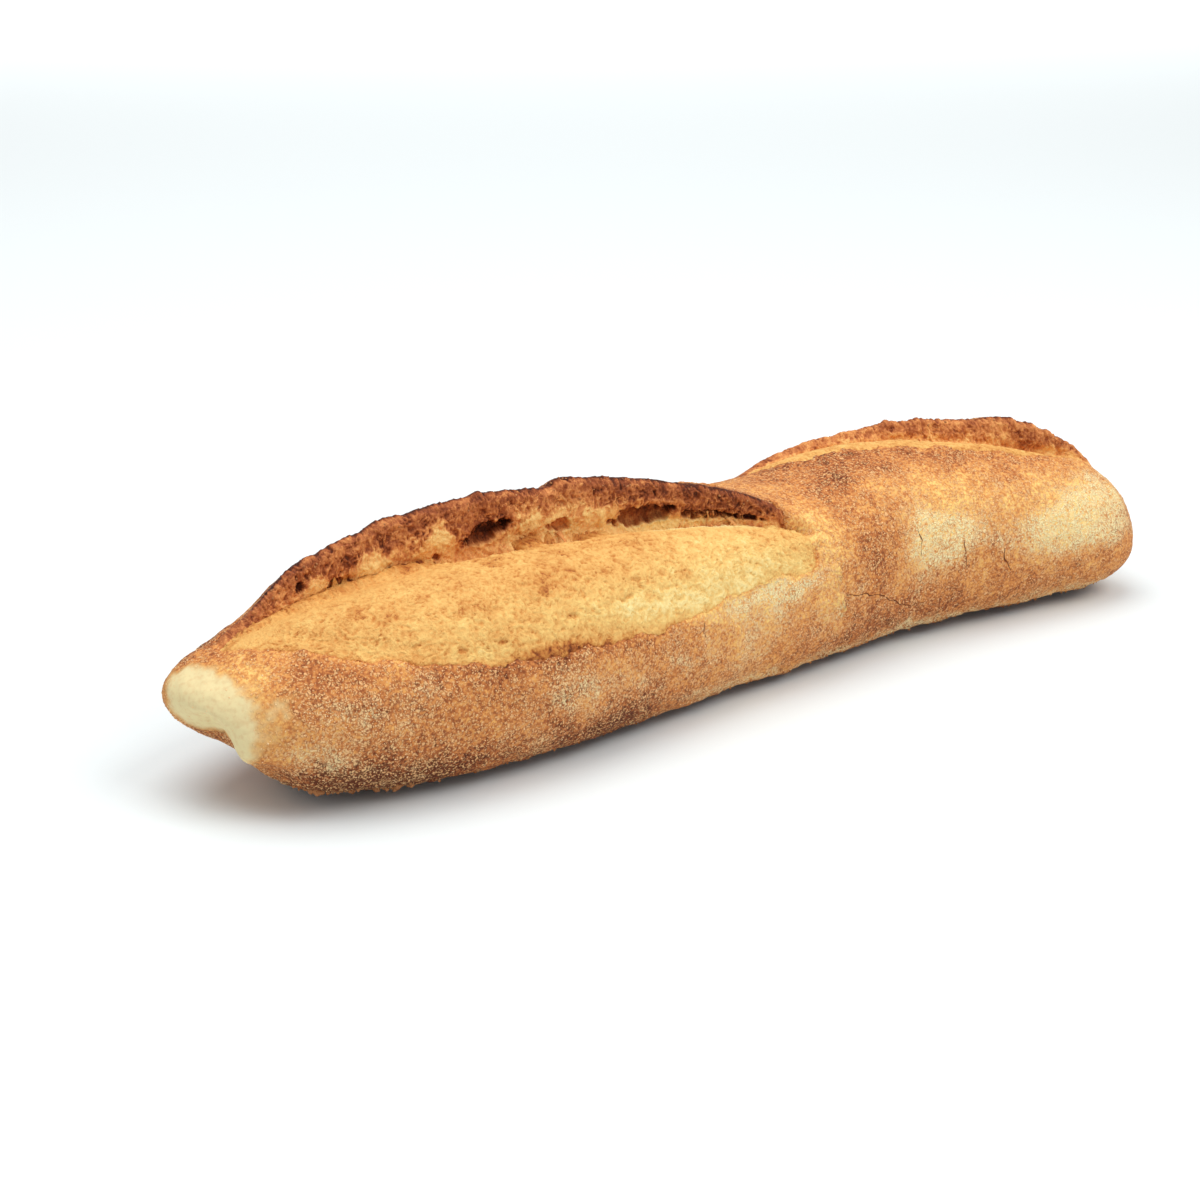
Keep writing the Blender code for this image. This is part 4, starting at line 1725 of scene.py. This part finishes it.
    def rim_shift(self, field: EarFields) -> Array:
        """Tear the rim: noise along it moves it out and in, fading on the face and on the back.

        Args:
            field: the ear's fields.

        Returns:
            The shift at each point.
        """
        x, over = field.x, field.over
        tear = soft_noise(sheet_of(x), 1.9, 139, 3) * smooth_step(over, 3.6, 5.2)
        tear = self.rim_tear * (tear * (1 - smooth_step(over, 6.2, 8.2))) * field.size
        out_y, out_z = FORM.outward(x, self.opening.slash.crease(x) + over / FORM.girth)
        return np.stack((0 * out_y, out_y, out_z), axis=-1) * tear[..., None]

    def tones(self, field: EarFields) -> Array:
        """Where the crumb runs from gold, 0, to burnt, 1.

        The mean tone, paler below the browned top, plus weighted fields and named patches. Painted
        shade darkens the foam's bowls and the holes, painted highlight pales the raised threads and
        grit, and the rim is burnt.

        Args:
            field: the ear's fields.

        Returns:
            The tone at each point.
        """
        upper, lower = field.upper, 1 - field.upper
        # painted shade: the foam's bowls are darker
        pits = 0.18 * field.bowl + 0.03 * field.dimple - 0.06
        tone = self.char - self.lower_gold * lower + pits * (0.25 + 0.75 * upper)
        # painted highlight: the raised grit and threads are paler
        tone = tone + 0.14 * field.crag - 0.08 * field.grit - 0.16 * (field.fibre - self.fibre_mean)
        # painted shade: the holes are darker
        tone = tone - 0.12 * field.hollow * lower + 0.26 * np.minimum(field.hole, 2.0)
        tone = tone + 0.10 * field.bowl_lot * upper - 1.1 * field.membrane
        tone = tone + total(self.scorch, field.x, field.over)
        edge_darkening = 0.34 * smooth_step(field.over + 0.2 * field.grit, 4.9, 5.5)
        return np.clip(tone + edge_darkening * smooth_step(self.opening.slash.rim(field.x), 3.0, 9.0), 0, 1)

    def build(self, crumb: Material, crust: Material) -> Piece:
        """Build the ear: moved along its normals by its relief, torn at its rim, and closed below.

        Args:
            crumb: the face's finish.
            crust: the back's finish.

        Returns:
            The piece.
        """
        field = self.fields()
        top = field.smooth + normal_of(field.smooth, self.relief(field)) + self.rim_shift(field)
        marks = {"tone": self.tones(field), "along": field.x, "across": field.climb}
        marks.update(CRUST_MAP.marks(field.smooth))
        marks["bake"] = marks["bake"] + 0.40 * bump(field.over - 6.4, 1.4)
        mesh = self.closed("ear", top, field, marks)
        piece = add_piece(mesh, [crumb, crust])
        is_back = np.zeros((self.columns - 1, (len(mesh.vertices) - 2) // self.columns), bool)
        is_back[:, :self.rows] = field.over[0] > self.back_over
        index = np.zeros(len(mesh.polygons), np.int32)
        index[:is_back.size] = is_back.ravel()
        mesh.polygons.foreach_set("material_index", index)
        return piece


@dataclass
class Strands:
    """Threads and webs of crumb that still bridge a crease, or stand up from the bloom's edge."""

    opening: Opening
    clusters: tuple[Dab, ...]  # where, how widely strewn, and how many
    sides: int = 7
    steps: int = 9
    thickness: float = 0.34
    web_share: float = 0.30
    web_width: float = 0.8
    free_share: float = 0.35
    seed: int = 7

    def build(self, material: Material) -> Piece:
        """Build the strands as tapered tubes with closed ends.

        Each runs from the bloom to the ear's face, bowed outward by a sine; its section is an oval
        that is thinnest halfway. A free one ends in the air, in a point.

        Args:
            material: the crumb.

        Returns:
            The piece.
        """
        rng = np.random.default_rng(self.seed)
        slash = self.opening.slash
        x = np.concatenate([
            dab.x + dab.reach_x * rng.uniform(-1, 1, int(dab.amount)) for dab in self.clusters])
        count = len(x)
        low = FORM.beside(slash, x, rng.uniform(-1.2, -0.2, count), extra=-0.9)
        lean = x + rng.normal(0, 1.2, count)
        high = FORM.beside(slash, lean, rng.uniform(1.5, 2.8, count), extra=-1.2)
        free = rng.random(count) < self.free_share
        reach = np.where(free, rng.uniform(0.3, 0.62, count), 1.0)[:, None]
        high = low + (high - low) * reach
        share = np.linspace(0, 1, self.steps)[None, :, None]
        bow = rng.uniform(-0.5, 0.4, count)[:, None, None] * np.sin(np.pi * share)
        sway = rng.normal(0, 0.25, (count, 1, 3)) * np.sin(2 * np.pi * share)
        path = low[:, None] + (high - low)[:, None] * share + bow * np.array((0.0, -0.7, 0.7)) + sway
        tangent = unit(np.gradient(path, axis=1))
        side = unit(np.cross(tangent, np.array((0.0, -0.6, 0.8))))
        front = np.cross(tangent, side)
        waist = np.where(free[:, None, None], 1.0 - 0.93 * share, 1.0 - 0.55 * np.sin(np.pi * share))
        thick = self.thickness * rng.uniform(0.5, 1.2, (count, 1, 1)) * waist
        is_web = (rng.random((count, 1, 1)) < self.web_share) * (~free)[:, None, None]
        web = 1 + self.web_width / self.thickness * is_web
        turn = np.linspace(0, 2 * np.pi, self.sides, endpoint=False)[None, None, :, None]
        round_path = (np.cos(turn) * side[:, :, None] * web[..., None] + np.sin(turn) * front[:, :, None])
        points = path[:, :, None] + round_path * thick[..., None]
        vertices = points.reshape(-1, 3)
        waver = np.stack([soft_noise(vertices, 0.8, 300 + axis, 1) for axis in range(3)], axis=-1)
        vertices = vertices + 0.16 * waver
        index = np.arange(len(vertices)).reshape(count, self.steps, self.sides)
        spokes = np.arange(1, self.sides - 1)
        fan = np.stack((0 * spokes, spokes, spokes + 1), axis=-1)
        fans = np.concatenate((index[:, 0][:, fan[:, TURNED_FAN]], index[:, -1][:, fan])).reshape(-1, 3)
        quads = band_quads(index)[:, TURNED_QUAD]
        mesh = put_mesh(f"{self.opening.value}_strands", placed(vertices), quads, fans)
        put_mark(mesh, "tone", np.repeat(rng.uniform(0.15, 0.45, count), self.steps * self.sides))
        mesh.shade_smooth()
        return add_piece(mesh, [material])


# ---------------------------------------------------------------- what lies on the crust


@dataclass
class Cracks:
    """Fine cracks in the crust: thin slivers let into it along named paths, dark with the painted shade of
    the cracks.
    """

    shell: CrustShell
    paths: tuple[tuple[tuple[float, float], ...], ...]  # places along X, and heights on the front
    width: float = 0.56
    depth: float = 0.5
    step: float = 0.4

    def build(self, material: Material) -> Piece:
        """Build the slivers: four corners carried along each path, wavering, and pointed at its ends.

        Args:
            material: the cracks' painted shade.

        Returns:
            The piece.
        """
        vertices, quads, start = [], [], 0
        for path in self.paths:
            knots = np.array(path)
            run = np.concatenate(([0], np.cumsum(np.hypot(*np.diff(knots, axis=0).T))))
            place = np.linspace(0, run[-1], max(4, int(run[-1] / self.step)))
            x, height = np.interp(place, run, knots[:, 0]), np.interp(place, run, knots[:, 1])
            wander = np.stack((place, 0 * place, 0 * place + run[-1]), axis=-1)
            x = x + 0.5 * soft_noise(wander, 3.0, 401, 3)
            height = height + 0.6 * soft_noise(wander, 2.6, 411, 3)
            points, normal = self.shell.on(x, self.shell.angle_at(x, height))
            points = (points + np.roll(points, 1, axis=0) + np.roll(points, -1, axis=0)) / 3
            points[[0, -1]] = points[[1, -2]]
            side = unit(np.cross(normal, np.gradient(points, axis=0)))
            taper = np.sin(np.pi * np.linspace(0.02, 0.98, len(x))) ** 0.4
            half = (self.width / 2 * taper * (0.75 + 0.35 * soft_noise(wander, 1.5, 421, 2)))[:, None]
            ring = np.stack((points + side * half, points + normal * 0.05,
                             points - side * half, points - normal * self.depth), axis=1)
            index = start + np.arange(ring.shape[0] * 4).reshape(-1, 4)
            quads.append(band_quads(index)[:, TURNED_QUAD])
            quads.append(np.stack((index[0][::-1], index[-1])))
            vertices.append(ring.reshape(-1, 3))
            start += ring.shape[0] * 4
        mesh = put_mesh("cracks", placed(np.concatenate(vertices)), np.concatenate(quads), NO_TRIANGLES)
        return add_piece(mesh, [material])


@dataclass
class Grains:
    """Grains of flour, half sunk in the crust: an eight-sided grain repeated by arrays."""

    shell: CrustShell
    count: int = 10000
    draws: int = 90000
    least: float = 0.12
    most: float = 0.32
    seed: int = 11

    def build(self, material: Material) -> Piece:
        """Strew the grains where the crust is floured.

        Places are drawn evenly over the skin and kept with a chance that grows with the flour; each
        grain is an octahedron with its own size and turn.

        Args:
            material: the grains.

        Returns:
            The piece.
        """
        rng = np.random.default_rng(self.seed)
        even = FORM.stations_over(2000)
        x = np.interp(rng.uniform(20, 1979, self.draws), np.arange(2000), even)
        angle = rng.uniform(-np.pi, np.pi, self.draws)
        points = FORM.skin(x, angle, 1.0)
        chance = CRUST_MAP.marks(points)["flour"] ** 1.3 + 0.02
        chance = chance * smooth_step(points[:, 2], 0.3, 1.5)
        for slash in (FORM.near, FORM.far):
            over = FORM.over(slash, x, angle)
            on_crust = (over < -slash.lip(x) - 0.5) | (over > 9.0) | (x < slash.start) | (x > slash.end)
            chance = chance * on_crust
        kept = rng.choice(self.draws, self.count, replace=False, p=chance / chance.sum())
        points, normal = self.shell.on(x[kept], angle[kept])
        first = unit(np.cross(normal, rng.normal(size=points.shape)))
        second = np.cross(normal, first)
        size = rng.uniform(0, 1, (self.count, 1)) ** 2 * (self.most - self.least) + self.least
        stretch = rng.uniform(0.8, 1.3, (self.count, 1))
        arms = np.stack((first * stretch, -first * stretch, second, -second, normal * 0.8, -normal), axis=1)
        vertices = (points[:, None] + arms * size[..., None]).reshape(-1, 3)
        faces = np.array((
            (0, 2, 4), (2, 1, 4), (1, 3, 4), (3, 0, 4), (2, 0, 5), (1, 2, 5), (3, 1, 5), (0, 3, 5)))
        triangles = (faces[None] + 6 * np.arange(self.count)[:, None, None]).reshape(-1, 3)
        mesh = put_mesh("semolina", placed(vertices), NO_QUADS, triangles)
        put_mark(mesh, "tone", np.repeat(rng.random(self.count), 6))
        return add_piece(mesh, [material])


@dataclass
class Crumbs:
    """Crumbs: rough ones along the near edge, small ones along the foot and on the ears' rims.

    Each is a small lumpy ball, repeated by arrays.
    """

    shell: CrustShell
    edge_count: int = 70
    edge_from: float = -150.0
    edge_to: float = -116.0
    foot_count: int = 260
    rim_count: int = 240
    rings: int = 5
    sides: int = 8
    seed: int = 23

    def places(self, rng: np.random.Generator) -> tuple[Array, Array]:
        """Where the crumbs sit, and how large they are.

        Args:
            rng: the draw.

        Returns:
            The points and the crumbs' radii.
        """
        x = rng.uniform(self.edge_from, self.edge_to, self.edge_count)
        x = np.concatenate((x, rng.uniform(self.edge_to, 158.0, self.foot_count)))
        at_edge = np.arange(len(x)) < self.edge_count
        edge_height, foot_height = rng.uniform(1.5, 5.5, len(x)), rng.uniform(3.6, 6.5, len(x))
        height = np.where(at_edge, edge_height, foot_height)
        edge, normal = self.shell.on(x, self.shell.angle_at(x, height))
        edge = edge + normal * 0.1
        edge_size = rng.uniform(0.35, 1.0, len(x)) ** 2 * np.where(at_edge, 1.2, 0.5)
        rims, rim_sizes = [], []
        for slash in (FORM.near, FORM.far):
            x = rng.uniform(slash.start + 6, slash.ear_end - 6, self.rim_count // 2)
            over = rng.uniform(3.2, 6.4, len(x))
            rims.append(FORM.beside(slash, x, over, extra=-0.1))
            rim_sizes.append(rng.uniform(0.15, 0.4, len(x)) * np.clip(slash.rim(x) / FORM.full_ear, 0.2, 1))
        return np.concatenate((edge, *rims)), np.concatenate((edge_size, *rim_sizes))

    def build(self, material: Material) -> Piece:
        """Build the crumbs: balls whose radius is pushed in and out by noise.

        Args:
            material: the crumbs.

        Returns:
            The piece.
        """
        rng = np.random.default_rng(self.seed)
        centres, sizes = self.places(rng)
        count = len(centres)
        polar = np.linspace(0, np.pi, self.rings + 2)[1:-1][:, None]
        turn = np.linspace(0, 2 * np.pi, self.sides, endpoint=False)[None]
        ring = np.sin(polar)
        ball = np.stack((ring * np.cos(turn), ring * np.sin(turn), np.cos(polar) + 0 * turn), axis=-1)
        ball = np.concatenate((ball.reshape(-1, 3), ((0, 0, 1.0), (0, 0, -1.0))))
        lumpy = soft_noise(ball[None] * 1.3 + rng.uniform(0, 900, (count, 1, 3)), 1.0, 501, 2)
        stretch = rng.uniform(0.6, 1.25, (count, 1, 3))
        vertices = centres[:, None] + ball[None] * stretch * (sizes[:, None] * (1 + 0.5 * lumpy))[..., None]
        vertices[..., 2] = np.maximum(vertices[..., 2], 0.0)
        offset = (len(ball) * np.arange(count))[:, None, None]
        quads, fans = ((faces[None] + offset).reshape(-1, faces.shape[1])
                       for faces in closed_faces(self.rings, self.sides))
        mesh = put_mesh("crumbs", placed(vertices.reshape(-1, 3)), quads, fans)
        put_mark(mesh, "tone", np.repeat(rng.uniform(0.35, 0.85, count), len(ball)))
        return add_piece(mesh, [material])


# ---------------------------------------------------------------- studio


@dataclass
class Studio:
    """A plain pale floor, soft light, and a camera at the photograph's viewing angle."""

    azimuth: float = -34.25
    elevation: float = 20.68
    distance: float = 670.92  # in millimetres
    aim: tuple[float, float, float] = (-32.42, 0.0, 31.01)  # in the form's millimetres
    lens: float = 66.0
    sensor: float = 36.0
    floor_half: float = 6.0
    floor_drop: float = 0.0003  # the floor lies just under the loaf's flat base
    floor_colour: Colour = paint(233, 239, 240)
    sky: float = 0.50

    def camera(self) -> None:
        """Stand the camera behind the aim, along its azimuth and elevation."""
        side, rise = math.radians(self.azimuth), math.radians(self.elevation)
        back = Vector((math.sin(side) * math.cos(rise), -math.cos(side) * math.cos(rise), math.sin(rise)))
        data = bpy.data.cameras.new("camera")
        data.lens, data.sensor_width = self.lens, self.sensor
        data.clip_start, data.clip_end = 0.05, 50.0
        camera = bpy.data.objects.new("camera", data)
        camera.location = Vector(placed(np.array(self.aim))) + back * self.distance * MM
        camera.rotation_euler = (-back).to_track_quat("-Z", "Y").to_euler()
        bpy.context.scene.collection.objects.link(camera)
        bpy.context.scene.camera = camera

    def floor(self) -> None:
        """Lay the floor, a wide matt square."""
        mesh = bpy.data.meshes.new("floor")
        corners = [
            (across * self.floor_half, deep * self.floor_half, -self.floor_drop)
            for across, deep in ((-1, -1), (1, -1), (1, 1), (-1, 1))]
        mesh.from_pydata(corners, [], [(0, 1, 2, 3)])
        floor = bpy.data.objects.new("floor", mesh)
        bpy.context.scene.collection.objects.link(floor)
        material = bpy.data.materials.new("floor")
        material.use_nodes = True
        shader = material.node_tree.nodes["Principled BSDF"]
        shader.inputs["Base Color"].default_value = self.floor_colour
        shader.inputs["Roughness"].default_value = 0.9
        shader.inputs["Specular IOR Level"].default_value = 0.1
        mesh.materials.append(material)

    def lamp(self, name: str, place: tuple[float, float, float], size: float, power: float,
             target: tuple[float, float, float] = (0.0, 0.0, 0.0)) -> None:
        """Hang a square soft lamp that faces the loaf, or another target.

        Args:
            name: the lamp's name.
            place: in metres.
            size: its side in metres.
            power: in watts.
            target: where it faces.
        """
        data = bpy.data.lights.new(name, "AREA")
        data.shape, data.size, data.energy = "SQUARE", size, power
        lamp = bpy.data.objects.new(name, data)
        lamp.location = place
        lamp.rotation_euler = (Vector(target) - Vector(place)).to_track_quat("-Z", "Y").to_euler()
        bpy.context.scene.collection.objects.link(lamp)

    def build(self) -> None:
        """Set the camera, the floor, the lamps and the sky."""
        self.camera()
        self.floor()
        self.lamp("overhead_lamp", (-0.15, 0.22, 1.35), 1.2, 13.0)
        self.lamp("front_lamp", (0.5, -0.85, 1.25), 0.9, 10.0)
        self.lamp("floor_lamp", (1.5, 3.0, 2.4), 3.0, 150.0, (2.6, 4.4, 0.0))
        world = bpy.data.worlds.new("sky")
        bpy.context.scene.world = world
        world.use_nodes = True
        world.node_tree.nodes["Background"].inputs["Color"].default_value = (1.0, 1.0, 1.0, 1.0)
        world.node_tree.nodes["Background"].inputs["Strength"].default_value = self.sky
        bpy.context.scene.view_settings.view_transform = "Standard"
        LOG.info("studio: camera %.0f mm, %.1f degrees up", self.lens, self.elevation)


# ---------------------------------------------------------------- the loaf


NEAR_BLOOM = Bloom(
    Opening.NEAR, 530, 180,
    dabs=(
        Dab(-31, -9, 13, 4.5, 0.12), Dab(-12, -32, 26, 9, -0.28), Dab(6, -18, 26, 12, -0.25),
        Dab(-43, -37, 24, 5, -0.24), Dab(-100, -32, 20, 7, -0.05), Dab(-22, -26, 2.4, 2.4, 0.26),
        Dab(-95, -28, 4.0, 2.2, 0.20), Dab(-72, -47.0, 13, 2.4, 0.34), Dab(-120, -12, 24, 10, 0.05),
        Dab(-96, -45, 14, 2.2, -0.20), Dab(-8, -1.8, 21, 2.2, -0.46), Dab(-112, -3.0, 26, 3.5, 0.05),
        Dab(-62, -1.0, 7, 4.0, 0.14), Dab(-44, -1.0, 10, 3.0, 0.12), Dab(27, -14, 6, 3.0, 0.02),
        Dab(-70, -20, 40, 14, 0.08), Dab(-125, -18, 22, 10, 0.05)),
    flaps=(Dab(-58, 0, 4.5, 1, 1.1), Dab(-37, 0, 6, 1, 0.7), Dab(-50, 0, 1.5, 1, 0.4)), filled_to=-86.0,
    pores=(
        Dab(-106, 0.6, 1.2, 0.4, 0.9), Dab(-101, 0.5, 1.4, 0.4, 0.9), Dab(-96, 0.6, 1.0, 0.4, 0.9),
        Dab(-91, 0.6, 1.4, 0.35, 0.9), Dab(-86, 0.5, 1.0, 0.35, 0.9), Dab(-113, 0.9, 1.0, 0.5, 1.0),
        Dab(-114, -36, 1.2, 1.0, 0.4), Dab(-102, -42, 1.7, 0.8, 0.5), Dab(-90, -42, 1.6, 0.8, 0.6),
        Dab(-66, -37, 2.2, 0.9, 0.6), Dab(-84, -33, 1.2, 0.7, 0.4), Dab(-40, -28, 0.8, 2.6, 0.5),
        Dab(-46, -33, 2.6, 0.7, 0.5, 0.5), Dab(-60, -30, 0.7, 1.8, 0.4), Dab(-76, -24, 1.6, 0.6, 0.35)),
    lamellae=(Dab(-31, -8, 14, 4.5, 1.0), Dab(-66, -5, 16, 4.0, 0.5)),
)
NEAR_EAR = Ear(
    Opening.NEAR, 730, 128,
    holes=(
        Dab(-70, 2.1, 7.2, 0.62, 4.2, 0.045), Dab(-47, 1.7, 4.2, 0.42, 2.6),
        Dab(-19, 1.75, 10.5, 0.80, 4.2, 0.02), Dab(0, 1.5, 9.0, 0.55, 2.8, -0.01),
        Dab(13, 1.35, 6.5, 0.42, 2.0, -0.015),
        Dab(-118, 1.5, 3.0, 0.55, 1.6), Dab(-114, 1.5, 1.3, 0.5, 2.4), Dab(-104, 1.1, 1.6, 0.25, 1.6),
        Dab(-98, 1.2, 1.2, 0.25, 1.6), Dab(-92, 1.2, 1.6, 0.25, 1.6), Dab(-86, 1.3, 1.2, 0.25, 1.4),
        Dab(-129, 2.6, 1.6, 0.55, 1.8)),
    membranes=(
        Dab(-124, 2.0, 3.0, 0.8, 0.20), Dab(-107, 1.8, 4.0, 0.8, 0.26), Dab(-57, 2.6, 6.0, 0.8, 0.24),
        Dab(-38, 2.2, 6.0, 0.8, 0.26), Dab(-84, 2.6, 8.0, 0.5, 0.14), Dab(-14, 3.0, 9.0, 0.35, 0.26)),
    chars=(
        Dab(-146, 2.5, 17, 6.0, 1.0), Dab(8, 2.5, 18, 5.0, 1.0), Dab(-127, 3.5, 3, 0.8, 0.6),
        Dab(-103, 4.0, 4, 0.8, 0.5)),
    scorch=(
        Dab(-4, 3.5, 26, 4.0, 0.10), Dab(-140, 3.0, 14, 4.0, -0.08), Dab(-100, 1.5, 26, 1.6, -0.08),
        Dab(-42, 0.8, 13, 1.5, -0.24), Dab(-70, 2.2, 7, 0.8, 0.20), Dab(-48, 2.6, 11, 1.4, -0.18),
        Dab(-4, 0.75, 24, 0.75, -0.60)),
    char=0.71, struts_from=-9.0,
)
FAR_BLOOM = Bloom(
    Opening.FAR, 460, 76, lip_drop=0.10, crumb_height=0.20, tone=0.46, lip_tone=0.06, tongue=0.25,
    dabs=(Dab(100, -8, 30, 5, 0.02), Dab(140, -5, 12, 5, 0.06)))
FAR_EAR = Ear(
    Opening.FAR, 560, 84, reference_height=6.0,
    sponge=0.4, crag=0.5, rim_tear=0.40, char=0.57, lower_gold=0.22)
NEAR_STRANDS = Strands(Opening.NEAR, (
    Dab(-48, 0, 4, 0, 4), Dab(-8, 0, 2, 0, 2), Dab(-1, 0, 3, 0, 3), Dab(9, 0, 4, 0, 3)),
    thickness=0.55, web_share=0.6, free_share=0.8)
FAR_STRANDS = Strands(Opening.FAR, (Dab(95, 0, 30, 0, 6),), thickness=0.3, seed=9)
CRACK_PATHS = (
    ((40.0, 26.0), (47.0, 25.0), (55.5, 22.5), (63.5, 18.5), (70.0, 15.5), (78.0, 14.5)),
    ((109.0, 28.5), (109.5, 24.5), (112.0, 20.0)),
    ((92.5, 34.5), (93.5, 28.5), (94.0, 23.0)),
    ((-19.0, 33.0), (-19.5, 29.5), (-19.0, 26.0)),
    ((74.5, 41.0), (75.5, 36.0), (74.0, 31.0)),
)


def build_loaf() -> None:
    """Build every piece of the loaf, from the crust outwards."""
    crust = CrustFinish().material()
    bloom, ear = BLOOM_FINISH.material(), EAR_FINISH.material()
    shell = CrustShell()
    shell.build(crust)
    for part in (NEAR_BLOOM, FAR_BLOOM):
        part.build(bloom)
    for part in (NEAR_EAR, FAR_EAR):
        part.build(ear, crust)
    for part in (NEAR_STRANDS, FAR_STRANDS):
        part.build(ear)
    Cracks(shell, CRACK_PATHS).build(CRACK_SHADE_FINISH.material())
    Grains(shell).build(SEMOLINA_FINISH.material())
    Crumbs(shell).build(EDGE_FINISH.material())


def main() -> None:
    """Build the studio and the loaf."""
    logging.basicConfig(level=logging.INFO, format="%(name)s %(message)s")
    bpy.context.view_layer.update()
    Studio().build()
    build_loaf()


if __name__ == "__main__":
    main()
